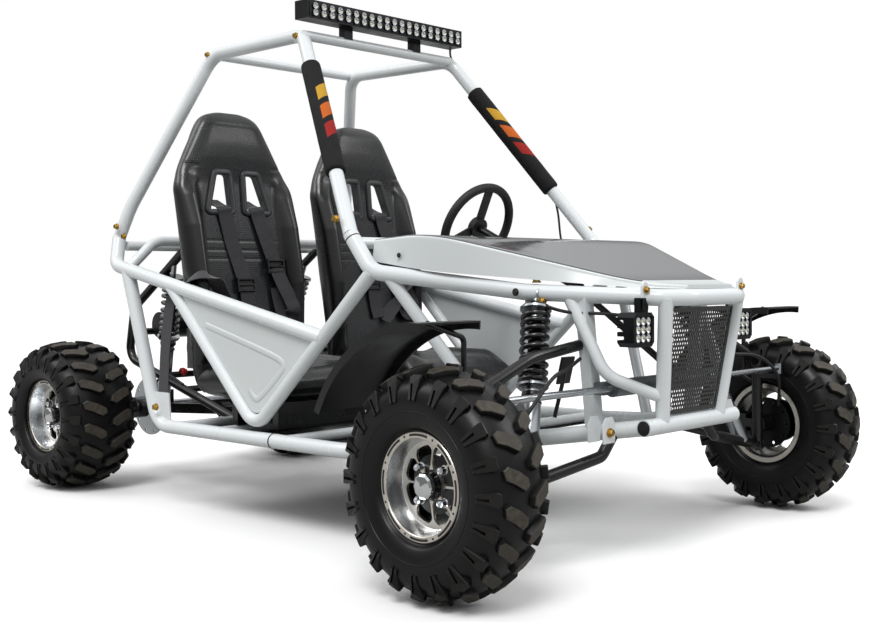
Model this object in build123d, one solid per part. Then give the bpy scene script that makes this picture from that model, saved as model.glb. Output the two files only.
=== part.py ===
from build123d import *
import os
from math import cos, pi, radians, sin, sqrt, tan

# Two-seat off-road racing kart: tube frame, roll cage, double-arm front suspension, live rear axle.
# Millimetres. X forward, Y left, Z up; the origin is on the floor under the middle of the box.

# Wheels and stance
wheelbase = 1881.0
front_track = 1321.0
rear_track = 872.0
front_tyre_od = 483.0
front_tyre_width = 170.0
rear_tyre_od = 457.0
rear_tyre_width = 226.0
lugs_around = 16
lug_share = 0.054
# Tyre sections from the sidewall to the middle: share of the half width, share of the radius
tyre_sections = [(1.0, 0.72), (0.97, 0.87), (0.58, 0.93), (0.48, 0.935), (0.07, 1 - lug_share)]
# Lug rows on one half: outer section, inner section, first cell
lug_rows = [(1, 2, 0), (3, 4, 1)]
rim_od = 220.0
rim_seat_od = 203.0
rim_wall = 5.0
front_rim_width = 135.0
rear_rim_width = 180.0
rim_disc_inset = 52.0
rim_windows = 8
# Rim window corners: radius, half angle in degrees
rim_window = [(42.0, 8.0), (84.0, 17.5)]
rim_window_corner = 6.0
rim_disc_thick = 8.0
hub_cap_radius = 27.0
hub_cap_length = 38.0

# Tubes of the frame
main_tube = 38.0
side_tube = 34.0
brace_tube = 28.0
cage_tube = 36.0
square_tube = 30.0

# Side frames, from the middle and the floor
sill_half_width = 464.0
sill_height = 235.0
shoulder_x = -628.0
shoulder_height = 690.0
rear_foot_x = -415.0
vee_foot_x = 45.0
vee_foot_height = 262.0
vee_bend = 58.0
pillar_base_x = 500.0
pillar_base_height = 666.0
rail_end_height = 505.0
b_pillar_x = -565.0
vee_top_x = -348.0
sill_front_back = 70.0
sill_knee_behind = 174.0
sill_knee_half = 265.0
sill_knee_rise = 35.0
sill_end_half = 150.0
sill_bends = [75, 220, 260]
# Floor bars: the first behind the seats, the last under the pedals
floor_bar_back = 75.0
floor_bar_places = (-150.0, 140.0)
floor_bar_front = 90.0
dash_ahead = 12.0
dash_drop = 20.0
gusset_reach = 95.0
gusset_thick = 4.0

# Roll cage
cage_front_x = 16.0
cage_rear_x = -425.0
cage_height = 1310.0
cage_front_half = 279.0
cage_rear_half = 262.0
cage_socket_x = -662.0
cage_socket_half = 434.0
cage_socket_height = 772.0
pillar_joint_x = 425.0
pillar_joint_height = 756.0
cage_bend = 75.0
cage_knee_share = 0.17
cage_knee_out = (14.0, 6.0)
cage_knee_bend = 300.0
low_bar_share = 0.29
pad_from_share = 0.17
pad_to_share = 0.72
pad_thick = 9.0

# Front frame
hoop_height = 606.0
hoop_knee_height = 619.0
hoop_knee_half = 300.0
hoop_corner_half = 155.0
bumper_bar_height = 315.0
bumper_bar_half = 186.0
bumper_bar_ahead = 151.0
hoop_nose_ahead = 216.0
hoop_knee_behind = 99.0
hoop_corner_back = 40.0
hoop_nose_in = 55.0
hoop_bends = [60, 200, 60, 40]
post_back = 30.0
post_in = 6.0
post_foot_half = 115.0
upright_ahead = 21.0
brace_top_behind = 12.0
brace_knee = (80.0, 232.0, 432.0)
brace_foot_share = 0.22
brace_bend = 70.0
leg_top_share = 0.1
leg_foot = (170.0, 275.0, 30.0)
grille_pitch = 20.0
grille_hole = 7.0

# Suspension and steering
kingpin_half = 555.0
kingpin_radius = 15.0
kingpin_top = 404.0
kingpin_bottom = 196.0
pin_radius = 8.0
eye_radius = 18.0
eye_length = 20.0
front_hub_radius = 30.0
seat_gap = 0.3
rod_end_height = 27.0
rod_end_radius = 11.0
rack_housing_radius = 20.0
pinion_offset = 95.0
shaft_radius = 9.0
joint_ball_radius = 14.0
column_length = 430.0
arm_tube = 27.0
# Lower arm: its two mounts from the axle, and where its front leg bends (out, height)
arm_front_ahead = 66.0
arm_rear_behind = 140.0
arm_knee = (230.0, 250.0)
# Upper arm: ahead of the axle, out and height of its mount and of its bend
upper_mount = (8.0, 224.0, 500.0)
upper_knee = (8.0, 400.0, 478.0)
strut_foot_share = 0.62
strut_top_behind = 75.0
pin_stub = 6.0
collar_radius = 24.0
steer_arm_half = 12.0
steer_arm_thick = 14.0
stay_behind = 44.0
stay_tube = 12.0
boss_length = 72.0
boss_radius = 18.0
steer_arm_reach = 65.0
rack_height = 400.0
rack_half = 190.0
rack_rod_radius = 8.0
spindle_radius = 12.0
running_gap = 0.05
front_disc_radius = 70.0
front_disc_inset = 22.0
disc_thick = 4.0
disc_hole_radius = 5.0
disc_holes = 10
caliper_gap = 5.0
caliper_half_height = 24.0
spring_turns = 7
spring_steps = 12
spring_wire = 5.0
perch_thick = 5.0
# Struts: body radius, rod radius, coil radius, where the coil starts and ends as shares of the length
front_strut = (20.0, 9.0, 28.0, 0.5, 0.9)
rear_strut = (19.0, 8.0, 26.0, 0.5, 0.88)

# Cockpit
seat_half_spacing = 242.0
seat_width = 396.0
cushion_front_x = 118.0
cushion_back_x = -262.0
cushion_top = 418.0
cushion_thickness = 96.0
back_lean = 8.0
back_thickness = 72.0
back_edge = 12.0
back_foot_rise = 12.0
back_contact = 15.0
# Seat back outline: half width, height
back_outline = [(176, 0), (194, 330), (197, 625), (96, 812)]
back_corner = 44.0
bolster_width = 56.0
# Bolster of the back seen from the side: ahead of the back's face, height
back_bolster = [(-12, 92), (40, 150), (64, 300), (52, 470), (14, 600), (-12, 612)]
# Bolster of the cushion seen from the side: ahead of its middle, above its top
cushion_bolster = [(-130, -20), (-112, 16), (60, 22), (120, -20)]
# Harness window: out from the middle, height
harness_window = [(26, 520), (92, 520), (62, 628), (26, 628)]
harness_corner = 9.0
strap_width = 48.0
strap_thick = 3.0
strap_foot = 175.0
seat_leg_half = 150.0
seat_leg_places = (-150.0, 30.0)
pedal_places = (170.0, 300.0)
pedal_top = 415.0
steering_wheel_x = 165.0
steering_wheel_height = 800.0
steering_wheel_radius = 126.0
steering_rim_radius = 13.0
steering_hub_radius = 30.0
steering_hub_thick = 20.0
spoke_angles = (90, 210, 330)
spoke_width = 30.0
spoke_thick = 6.0
bearing_length = 50.0
bearing_wall = 9.0
column_slope = 25.0
column_radius = 11.0

# Body and lights
sheet = 3.0
fender_radius = 320.0
fender_from = 86.0
fender_to = 156.0
fender_width = 175.0
fender_lip = 14.0
light_bar_length = 586.0
light_bar_depth = 62.0
light_bar_height = 50.0
light_bar_centre = 1376.0
light_bar_fins = 5
bracket_half = 130.0
pod_size = 76.0
pod_depth = 46.0
pod_ahead = 146.0
pod_half = 208.0
pod_height = 536.0
pod_lens = 58.0
# Hood sections: ahead of the front axle, half width at the top, half width at the foot, top, foot
hood_sections = [(-464, 430, 436, 745, 692), (-294, 420, 425, 757, 668), (126, 165, 182, 641, 627.8),
                 (206, 95, 110, 634, 625.4)]

# Engine and rear axle
axle_radius = 15.0
swing_arm_half = 205.0
swing_arm_width = 30.0
pivot_behind = 60.0
pivot_height = 255.0
bearing_radius = 34.0
tie_ahead = 190.0
guard_half = 252.0
guard_tube = 26.0
seat_bar_behind = 62.0
seat_bar_rise = 72.0
seat_bar_half = 375.0
# Guard bends: ahead of the rear axle, below the shoulder
guard_bends = [(57, 134), (22, 294)]
guard_cross_ahead = 40.0
guard_cross_drop = 212.0
engine_ahead = 272.0
engine_length = 230.0
engine_half = 135.0
engine_floor = 360.0
crankcase_height = 130.0
cylinder_height = 110.0
cylinder_core = 92.0
fin_width = 136.0
fin_count = 8
fin_thick = 5.0
mount_places = (337.0, 207.0)
mount_half = 80.0
cover_radius = 78.0
muffler_ahead = 98.0
muffler_height = 500.0
muffler_half = 190.0
muffler_radius = 42.0
pipe_tube = 26.0
rear_disc_half = 165.0
rear_disc_radius = 95.0
sprocket_radius = 100.0
sprocket_teeth = 24
tooth_height = 8.0
drive_sprocket_radius = 30.0
drive_sprocket_rise = 70.0
chain_height = 12.0
chain_width = 8.0
chain_links = 24

# Derived stations
front_axle_x = (wheelbase + rear_tyre_od / 2 - front_tyre_od / 2) / 2
rear_axle_x = front_axle_x - wheelbase
front_wheel_z = front_tyre_od / 2
rear_wheel_z = rear_tyre_od / 2
front_half = front_track / 2
rear_half = rear_track / 2


def along(a, b, share):
    """The point a share of the way from a to b."""
    return tuple(p + (q - p) * share for p, q in zip(a, b))


def at_x(a, b, x):
    """The point of the line from a to b at that x."""
    return along(a, b, (x - a[0]) / (b[0] - a[0]))


def polar(radius, angle):
    """A point of a plane from its radius and its angle in degrees."""
    return (radius * cos(radians(angle)), radius * sin(radians(angle)))


def mirrored(points, side):
    return [(x, y * side, z) for x, y, z in points]


def bar(points, diameter, bends=()):
    """A round bar along straight runs joined by tangent arcs."""
    if len(points) == 2:
        path = Line(*points)
    else:
        path = FilletPolyline(*points, radius=list(bends))
    start = Plane(path @ 0, z_dir=path % 0)
    return sweep(start * Circle(diameter / 2), path=path)


def square_bar(a, b, width, depth):
    """A square tube from a to b, its depth along X."""
    run = Vector(*b) - Vector(*a)
    plane = Plane(a, x_dir=(1, 0, 0), z_dir=run)
    return extrude(plane * Rectangle(depth, width), run.length)


def rod_y(x, z, y_from, y_to, radius):
    """A round rod along Y."""
    plane = Plane((x, y_from, z), x_dir=(1, 0, 0), z_dir=(0, 1 if y_to > y_from else -1, 0))
    return extrude(plane * Circle(radius), abs(y_to - y_from))


def rod(a, b, radius):
    run = Vector(*b) - Vector(*a)
    return extrude(Plane(a, z_dir=run) * Circle(radius), run.length)


def block(x, y, z):
    """A box from pairs of limits."""
    size = [abs(p[1] - p[0]) for p in (x, y, z)]
    return Pos(*[(p[0] + p[1]) / 2 for p in (x, y, z)]) * Box(*size)


def revolved_y(centre, outline):
    """A ring about a line along Y through centre; the outline is (out from centre along Y, radius) pairs."""
    face = Plane(centre, x_dir=(0, 1, 0), z_dir=(-1, 0, 0)) * make_face(Polyline(*outline, close=True))
    return revolve(face, Axis(centre, (0, 1, 0)))


nodes = {}


def add(name, *shapes):
    """Keeps the solids of a node for writing."""
    nodes.setdefault(name, []).extend(shapes)


# Frame stations: x, y out from the middle, z
fa = front_axle_x
shoulder = (shoulder_x, sill_half_width, shoulder_height)
vee_foot = (vee_foot_x, sill_half_width, vee_foot_height)
pillar_base = (pillar_base_x, sill_half_width, pillar_base_height)
rail_end_share = (rail_end_height - vee_foot_height) / (pillar_base_height - vee_foot_height)
rail_end = along(vee_foot, pillar_base, rail_end_share)
b_pillar_top = at_x(shoulder, rail_end, b_pillar_x)
vee_top = at_x(shoulder, rail_end, vee_top_x)
rear_foot = (rear_foot_x, sill_half_width, sill_height)
sill_front = (pillar_base_x - sill_front_back, sill_half_width, sill_height)
sill_knee = (fa - sill_knee_behind, sill_knee_half, sill_height + sill_knee_rise)
bumper_bar_x = fa + bumper_bar_ahead
sill_end = (bumper_bar_x, sill_end_half, bumper_bar_height)
cage_socket = (cage_socket_x, cage_socket_half, cage_socket_height)
cage_rear_top = (cage_rear_x, cage_rear_half, cage_height)
cage_front_top = (cage_front_x, cage_front_half, cage_height)
pillar_joint = (pillar_joint_x, sill_half_width, pillar_joint_height)
hoop_knee = (fa - hoop_knee_behind, hoop_knee_half, hoop_knee_height)
hoop_corner = (fa + hoop_nose_ahead - hoop_corner_back, hoop_corner_half, hoop_height)
hoop_nose = (fa + hoop_nose_ahead, hoop_corner_half - hoop_nose_in, hoop_height)
seat_bar_height = shoulder_height + seat_bar_rise
guard_top = (shoulder_x + seat_bar_behind, guard_half, seat_bar_height)
guard_knee, guard_heel = [(rear_axle_x + ahead, guard_half, shoulder_height - below)
                          for ahead, below in guard_bends]
guard_foot = (rear_foot_x + floor_bar_back, guard_half, sill_height)
guard_cross = (rear_axle_x + guard_cross_ahead, guard_half, shoulder_height - guard_cross_drop)
post_top = (fa + hoop_nose_ahead - post_back, hoop_corner_half - post_in, hoop_height)
post_foot = (bumper_bar_x, post_foot_half, bumper_bar_height)


def frame_tubes():
    """The welded frame: each tube is coped to the ones that it meets."""
    bumper_bar = bar([(bumper_bar_x, -bumper_bar_half, bumper_bar_height),
                      (bumper_bar_x, bumper_bar_half, bumper_bar_height)], main_tube)
    right = mirrored([pillar_joint, pillar_base, hoop_knee, hoop_corner, hoop_nose], -1)
    left = mirrored(right[::-1], -1)
    hoop = bar(right + left, main_tube, hoop_bends + hoop_bends[::-1])
    add("bumper_lower_bar", bumper_bar)
    add("front_hoop", hoop)
    parts = {}
    for side in (1, -1):
        front_leg = bar(mirrored([vee_foot, pillar_base], side), side_tube)
        side_rail = bar(mirrored([cage_socket, shoulder, rail_end], side), main_tube, [45]) - front_leg
        vee = bar(mirrored([vee_top, vee_foot, pillar_base], side), side_tube, [vee_bend]) - hoop - side_rail
        points = mirrored([b_pillar_top, rear_foot, sill_front, sill_knee, sill_end], side)
        sill = bar(points, main_tube, sill_bends)
        gusset_y = sill_half_width * side + gusset_thick / 2
        gusset_plane = Plane((0, gusset_y, 0), x_dir=(1, 0, 0), z_dir=(0, -1, 0))
        corners = [(rear_foot_x, sill_height), (rear_foot_x + gusset_reach * 0.7, sill_height),
                   (rear_foot_x + gusset_reach * 0.6, sill_height + gusset_reach),
                   (rear_foot_x - gusset_reach * 0.3, sill_height + gusset_reach)]
        sill += extrude(gusset_plane * make_face(Polyline(*corners, close=True)), gusset_thick)
        sill = sill - side_rail - bumper_bar - vee
        for name, tube in (("door_vees", vee), ("side_rails", side_rail), ("lower_rails", sill)):
            add(name, tube)
            parts[name, side] = tube
    return hoop, bumper_bar, parts


def cage(hoop, parts):
    """The bolted roll cage: one bent tube a side, and the bars across."""
    front_bar = bar([*mirrored([cage_front_top], -1), cage_front_top], brace_tube)
    rear_bar = bar([*mirrored([cage_rear_top], -1), cage_rear_top], brace_tube)
    seat = along(cage_socket, shoulder, low_bar_share)
    lean = (shoulder[1] - cage_socket[1]) / (cage_socket[2] - shoulder[2])
    reach = seat[1] - main_tube / 2 * sqrt(1 + lean * lean) - brace_tube / 2 * lean - seat_gap
    low_bar = bar([(seat[0], -reach, seat[2]), (seat[0], reach, seat[2])], brace_tube)
    for side in (1, -1):
        knee = along(cage_socket, cage_rear_top, cage_knee_share)
        knee = (knee[0] - cage_knee_out[0], knee[1] + cage_knee_out[1], knee[2])
        points = mirrored([cage_socket, knee, cage_rear_top, cage_front_top, pillar_joint], side)
        tube = bar(points, cage_tube, [cage_knee_bend, cage_bend, cage_bend])
        tube = tube - hoop - parts["side_rails", side]
        add("cage_sides", tube)
        front_bar = front_bar - tube
        rear_bar = rear_bar - tube
        start, end = mirrored([along(cage_front_top, pillar_joint, share)
                               for share in (pad_from_share, pad_to_share)], side)
        sleeve = rod(start, end, cage_tube / 2 + pad_thick)
        add("pillar_pads", sleeve - rod(start, end, cage_tube / 2 + seat_gap))
    add("cage_cross_bars", front_bar, rear_bar, low_bar)


def front_frame(hoop, bumper_bar, parts):
    """Uprights, grille posts, bumper braces and the braces down from the screen pillars."""
    for side in (1, -1):
        sill = parts["lower_rails", side]
        top = at_x(hoop_knee, hoop_corner, fa + upright_ahead)
        foot = at_x(sill_knee, sill_end, fa + upright_ahead)
        upright = square_bar(*mirrored([foot, top], side), square_tube, square_tube) - hoop - sill
        add("front_uprights", upright)
        post = bar(mirrored([post_foot, post_top], side), side_tube) - hoop - bumper_bar - sill
        add("grille_posts", post)
        points = [at_x(hoop_knee, hoop_corner, fa - brace_top_behind), (fa + brace_knee[0], *brace_knee[1:]),
                  along(post_foot, post_top, brace_foot_share)]
        add("bumper_braces", bar(mirrored(points, side), brace_tube, [brace_bend]) - hoop - post - upright)
        behind, out, rise = leg_foot
        points = [along(pillar_base, hoop_knee, leg_top_share), (fa - behind, out, sill_height + rise)]
        leg = bar(mirrored(points, side), side_tube - 4)
        add("leg_braces", leg - hoop - sill - parts["door_vees", side])


def cross_members(parts):
    """Bars across the floor, the dash and behind the seats."""
    for x in (rear_foot_x + floor_bar_back, *floor_bar_places, pillar_base_x - floor_bar_front):
        tube = bar([(x, -sill_half_width, sill_height), (x, sill_half_width, sill_height)], brace_tube)
        add("floor_crossmembers", tube - parts["lower_rails", 1] - parts["lower_rails", -1])
    dash_end = (pillar_joint_x + dash_ahead, sill_half_width, pillar_joint_height - dash_drop)
    dash = bar([*mirrored([dash_end], -1), dash_end], brace_tube)
    add("dash_bar", dash - nodes["front_hoop"][0] - parts["door_vees", 1] - parts["door_vees", -1])
    seat_bar_end = at_x(shoulder, rail_end, shoulder_x + seat_bar_behind)
    right = mirrored([seat_bar_end, (seat_bar_end[0], seat_bar_half, seat_bar_height)], -1)
    left = mirrored(right[::-1], -1)
    seat_bar = bar(right + left, brace_tube + 2, [70, 70])
    for side in (1, -1):
        seat_bar = seat_bar - parts["side_rails", side] - parts["lower_rails", side]
    add("seat_back_bar", seat_bar)
    return seat_bar


def spring_strut(low, high, sizes, cuts):
    """A damper body, its rod and two perches as one solid, and the coil between the perches."""
    body_radius, rod_radius, coil_radius, start, end = sizes
    run = Vector(*high) - Vector(*low)
    length = run.length
    axis = run.normalized()
    foot, head = Vector(*low) + run * start, Vector(*low) + run * end
    perch_radius = coil_radius + spring_wire + 3
    strut = rod(low, tuple(foot), body_radius) + rod(low, high, rod_radius)
    strut += extrude(Plane(foot - axis * perch_thick, z_dir=axis) * Circle(perch_radius), perch_thick)
    strut += extrude(Plane(head, z_dir=axis) * Circle(perch_radius), perch_thick)
    for cut in cuts:
        strut -= cut
    rise = length * (end - start) - 2 * (spring_wire + seat_gap)
    base = Plane(foot + axis * (spring_wire + seat_gap), z_dir=axis)
    count = spring_turns * spring_steps
    coil = Polyline(*[base.from_local_coords((*polar(coil_radius, 360 * k / spring_steps), rise * k / count))
                      for k in range(count + 1)])
    spring = sweep(Plane(coil @ 0, z_dir=coil % 0) * RegularPolygon(spring_wire, 6), path=coil,
                   transition=Transition.RIGHT)
    return strut, spring


def engine_frame(seat_bar):
    """Guard tubes round the engine, and the swing arm that carries the axle."""
    rear_bar = nodes["floor_crossmembers"][0]
    guards = []
    for side in (1, -1):
        points = mirrored([guard_top, guard_knee, guard_heel, guard_foot], side)
        guards.append(bar(points, guard_tube, [70, 50]) - seat_bar - rear_bar)
    cross = bar(mirrored([guard_cross], -1) + [guard_cross], guard_tube - 4)
    add("engine_guard", guards[0] + guards[1] + cross)
    pivot = (rear_foot_x - pivot_behind, pivot_height)
    arms = []
    for side in (1, -1):
        y = swing_arm_half * side
        arm = square_bar((pivot[0], y, pivot[1]), (rear_axle_x, y, rear_wheel_z), swing_arm_width,
                         swing_arm_width)
        housing = rod_y(rear_axle_x, rear_wheel_z, y - 20, y + 20, bearing_radius)
        bore = rod_y(rear_axle_x, rear_wheel_z, y - 30, y + 30, axle_radius + running_gap)
        eye = rod_y(pivot[0], pivot[1], y - 15, y + 15, 22)
        arms.append(arm + housing + eye - bore)
    cross_z = rear_wheel_z + (pivot[1] - rear_wheel_z) * tie_ahead / (pivot[0] - rear_axle_x)
    tie = rod_y(rear_axle_x + tie_ahead, cross_z, -swing_arm_half, swing_arm_half, brace_tube / 2)
    pivot_bar = rod_y(pivot[0], pivot[1], -guard_half, guard_half, 11) - guards[0] - guards[1]
    inner, outer = rear_disc_radius * 0.6, rear_disc_radius + caliper_gap + 8
    caliper = block((rear_axle_x + inner, rear_axle_x + outer), (-swing_arm_half + 10, -rear_disc_half + 20),
                    (rear_wheel_z - 5, rear_wheel_z + 60))
    slot_half = disc_thick / 2 + caliper_gap
    slot = rod_y(rear_axle_x, rear_wheel_z, -rear_disc_half - slot_half, -rear_disc_half + slot_half,
                 rear_disc_radius + caliper_gap)
    add("swing_arm", arms[0] + arms[1] + tie + pivot_bar + (caliper - slot))
    for side, guard in zip((1, -1), guards):
        low = (rear_axle_x + 140, swing_arm_half * side, rear_wheel_z + 8)
        high = at_x(*mirrored([guard_top, guard_knee], side), shoulder_x - 30)
        strut, spring = spring_strut(low, high, rear_strut, (nodes["swing_arm"][0], guard))
        add("rear_struts", strut)
        add("rear_springs", spring)
    for ahead in mount_places:
        x = rear_axle_x + ahead
        z = at_x(guard_heel, guard_foot, x)[2]
        mount = rod_y(x, z, -guard_half, guard_half, 10) - guards[0] - guards[1]
        for side in (1, -1):
            y = side * mount_half
            mount += block((x - 14, x + 14), (y - 14, y + 14), (z, engine_floor))
        add("engine_mounts", mount)


def knobbly_tyre(width, od, rim_width):
    """A tyre about the Y axis: a faceted carcass between the rim's flanges, with rows of blocks on it."""
    half, radius, cells = width / 2, od / 2, 2 * lugs_around
    bead = rim_width / 2 - rim_wall - seat_gap
    outline = [(bead, rim_od / 2 + 2)] + [(half * out, radius * share) for out, share in tyre_sections]

    def across(y):
        return Plane((0, y, 0), x_dir=(1, 0, 0), z_dir=(0, 1, 0))

    rings = [across(y) * RegularPolygon(r, cells) for y, r in outline + [(-y, r) for y, r in outline[::-1]]]
    bore = extrude(across(-bead) * RegularPolygon(rim_seat_od / 2 + 1, cells), 2 * bead)
    carcass = loft(rings, ruled=True) - bore
    step, lug, sink = 360 / cells, radius * lug_share, radius * lug_share

    def cell(y, r, k):
        corners = [polar(r - sink, k * step), polar(r + lug, k * step), polar(r + lug, (k + 1) * step),
                   polar(r - sink, (k + 1) * step)]
        return across(y) * make_face(Polyline(*corners, close=True))

    lugs = []
    for outer, inner, first in lug_rows:
        (out_y, out_r), (in_y, in_r) = outline[outer + 1], outline[inner + 1]
        for hand in (1, -1):
            for k in range(first if hand == 1 else 1 - first, cells, 2):
                lugs += loft([cell(hand * out_y, out_r, k), cell(hand * in_y, in_r, k)], ruled=True).solids()
    return carcass.fuse(*lugs)


def rim(centre, width, side, bore, bore_end):
    """A one-piece wheel: barrel with two flanges, and a dished disc with windows, its face outward."""
    half, seat, wall = width / 2, rim_seat_od / 2, rim_wall
    flange = rim_od / 2
    outline = [(-half, flange), (-half, seat - wall), (half, seat - wall), (half, flange),
               (half - wall, flange), (half - wall, seat), (-half + wall, seat), (-half + wall, flange)]
    barrel = revolved_y(centre, outline)
    face = half - rim_disc_inset

    def turned(near, far, radius):
        return rod_y(centre[0], centre[2], centre[1] + side * near, centre[1] + side * far, radius)

    disc = turned(face - rim_disc_thick, face, seat - wall + 1)
    (low, low_angle), (high, high_angle) = rim_window
    through = Plane((centre[0], centre[1] + side * (face - 2 * rim_disc_thick), centre[2]), x_dir=(1, 0, 0),
                    z_dir=(0, side, 0))
    for k in range(rim_windows):
        middle = 360 * (k + 0.5) / rim_windows
        corners = [polar(low, middle - low_angle), polar(high, middle - high_angle),
                   polar(high, middle + high_angle), polar(low, middle + low_angle)]
        window = make_face(Polyline(*corners, close=True))
        window = fillet(window.vertices(), rim_window_corner)
        disc -= extrude(through * window, 3 * rim_disc_thick)
    cap = turned(face - rim_disc_thick, face + hub_cap_length, hub_cap_radius)
    return barrel + disc + cap - turned(face - 2 * rim_disc_thick, bore_end, bore)


def fender(side):
    """A curved blade over the tyre with a lip down each edge."""
    y = front_half * side
    low, high = fender_from, fender_to
    middle = (low + high) / 2

    def band(inner, outer, y_from, y_to):
        corners = {}
        for r in (inner, outer):
            for angle in (low, middle, high):
                x, z = polar(r, angle)
                corners[r, angle] = (fa + x, front_wheel_z + z)
        edges = [ThreePointArc(*[corners[inner, a] for a in (low, middle, high)]),
                 Line(corners[inner, high], corners[outer, high]),
                 ThreePointArc(*[corners[outer, a] for a in (high, middle, low)]),
                 Line(corners[outer, low], corners[inner, low])]
        plane = Plane((0, y + y_to, 0), x_dir=(1, 0, 0), z_dir=(0, -1, 0))
        return extrude(plane * make_face(edges), y_to - y_from)

    half, thick = fender_width / 2, sheet + 1
    blade = band(fender_radius, fender_radius + thick, -half, half)
    blade += band(fender_radius - fender_lip, fender_radius + thick, half - thick, half)
    return blade + band(fender_radius - fender_lip, fender_radius + thick, -half, thick - half)


def drilled_disc(x, z, y_from, y_to, radius):
    """A brake disc along Y with a ring of holes."""
    disc = rod_y(x, z, y_from, y_to, radius)
    plane = Plane((x, y_from, z), x_dir=(1, 0, 0), z_dir=(0, 1 if y_to > y_from else -1, 0))
    ring = radius - 2.4 * disc_hole_radius
    hole = RegularPolygon(disc_hole_radius, 6)
    holes = [Pos(*polar(ring, 360 * k / disc_holes)) * hole for k in range(disc_holes)]
    return disc - extrude(plane * Sketch(children=holes), abs(y_to - y_from))


def front_corner(side, name):
    """Knuckle, wheel and fender of one front corner."""
    y = front_half * side
    centre = (fa, y, front_wheel_z)
    add(f"tyre_front_{name}", Pos(*centre) * front_tyre)
    hub = spindle_radius + running_gap
    face = front_rim_width / 2 - rim_disc_inset
    spindle_end = face + hub_cap_length - 20
    add(f"rim_front_{name}", rim(centre, front_rim_width, side, hub, spindle_end + 3))
    disc_y = y - side * (front_rim_width / 2 - front_disc_inset)
    back_y = y + side * (face - rim_disc_thick)
    hub_tube = rod_y(fa, front_wheel_z, disc_y, back_y, front_hub_radius)
    brake = drilled_disc(fa, front_wheel_z, disc_y - side * disc_thick, disc_y, front_disc_radius)
    bore = rod_y(fa, front_wheel_z, disc_y - side * 10, back_y + side * 10, hub)
    add(f"hub_front_{name}", hub_tube + brake - bore)
    pin_y = kingpin_half * side
    post = rod((fa, pin_y, kingpin_bottom), (fa, pin_y, kingpin_top), kingpin_radius)
    pin_reach = eye_length + pin_stub
    pin = rod((fa, pin_y, kingpin_bottom - pin_reach), (fa, pin_y, kingpin_top + pin_reach), pin_radius)
    spindle = rod_y(fa, front_wheel_z, pin_y, y + side * spindle_end, spindle_radius)
    collar = rod_y(fa, front_wheel_z, pin_y, disc_y - side * 7, collar_radius)
    arm_top = rack_height - rod_end_height / 2 - seat_gap
    steer_arm = block((fa, fa + steer_arm_reach + 14), (pin_y - steer_arm_half, pin_y + steer_arm_half),
                      (arm_top - steer_arm_thick, arm_top))
    blade_under = front_wheel_z + fender_radius
    stay_x = fa - stay_behind
    points = [(fa, pin_y, kingpin_top - 50), (stay_x, pin_y, kingpin_top - 30),
              (stay_x, pin_y, blade_under - 34), (stay_x, y, blade_under + sheet - 4)]
    stay = bar(points, stay_tube, [18, 16])
    blade = fender(side)
    caliper_out = fa - front_disc_radius - caliper_gap - 10
    caliper = block((caliper_out, fa - front_disc_radius * 0.7), (pin_y + side * 20, disc_y + side * 24),
                    (front_wheel_z - caliper_half_height, front_wheel_z + caliper_half_height))
    slot_from, slot_to = disc_y - side * (disc_thick + caliper_gap), disc_y + side * caliper_gap
    caliper -= rod_y(fa, front_wheel_z, slot_from, slot_to, front_disc_radius + caliper_gap)
    bracket = block((caliper_out + 10, fa), (pin_y + side * 20, pin_y + side * 30),
                    (front_wheel_z - caliper_half_height / 2, front_wheel_z + caliper_half_height / 2))
    post += caliper + bracket - rod_y(fa, front_wheel_z, pin_y, y, spindle_radius)
    add(f"knuckle_{name}", post + pin + spindle + collar + steer_arm + (stay - blade))
    add(f"fender_{name}", blade)


def front_suspension():
    """Arms from the frame to the knuckles, and the struts between."""
    for side in (1, -1):
        sill = nodes["lower_rails"][0 if side == 1 else 1]
        upright = nodes["front_uprights"][0 if side == 1 else 1]

        def on_pin(low, high, radius):
            return rod((fa, kingpin_half * side, low), (fa, kingpin_half * side, high), radius)

        hole = on_pin(0, cage_height, pin_radius + running_gap)
        low_face, high_face = kingpin_bottom - seat_gap, kingpin_top + seat_gap
        low_eye = on_pin(low_face - eye_length, low_face, eye_radius)
        high_eye = on_pin(high_face, high_face + eye_length, eye_radius)
        low_pin = (fa, kingpin_half, kingpin_bottom - eye_length / 2)
        high_pin = (fa, kingpin_half, kingpin_top + eye_length / 2)
        front_mount = at_x(sill_knee, sill_end, fa + arm_front_ahead)
        rear_mount = at_x(sill_knee, sill_end, fa - arm_rear_behind)
        knee = (fa + arm_front_ahead, *arm_knee)
        front_leg = bar(mirrored([front_mount, knee, low_pin], side), arm_tube, [30])
        rear_leg = bar(mirrored([rear_mount, low_pin], side), arm_tube - 3)
        above = on_pin(low_face, kingpin_top, eye_radius + arm_tube)
        arm = (front_leg - sill - above) + (rear_leg - sill - above) + low_eye - hole
        add("lower_arms", arm)
        points = [(fa + ahead, out, height) for ahead, out, height in (upper_mount, upper_knee)] + [high_pin]
        upper = bar(mirrored(points, side), arm_tube - 2, [160])
        below = on_pin(0, high_face, eye_radius + arm_tube)
        add("upper_arms", (upper - upright - below) + high_eye - hole)
        low = along(knee, low_pin, strut_foot_share)
        low, high = mirrored([low, at_x(hoop_knee, hoop_corner, fa - strut_top_behind)], side)
        strut, spring = spring_strut(low, high, front_strut, (arm, hoop))
        add("front_struts", strut)
        add("front_springs", spring)


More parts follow.
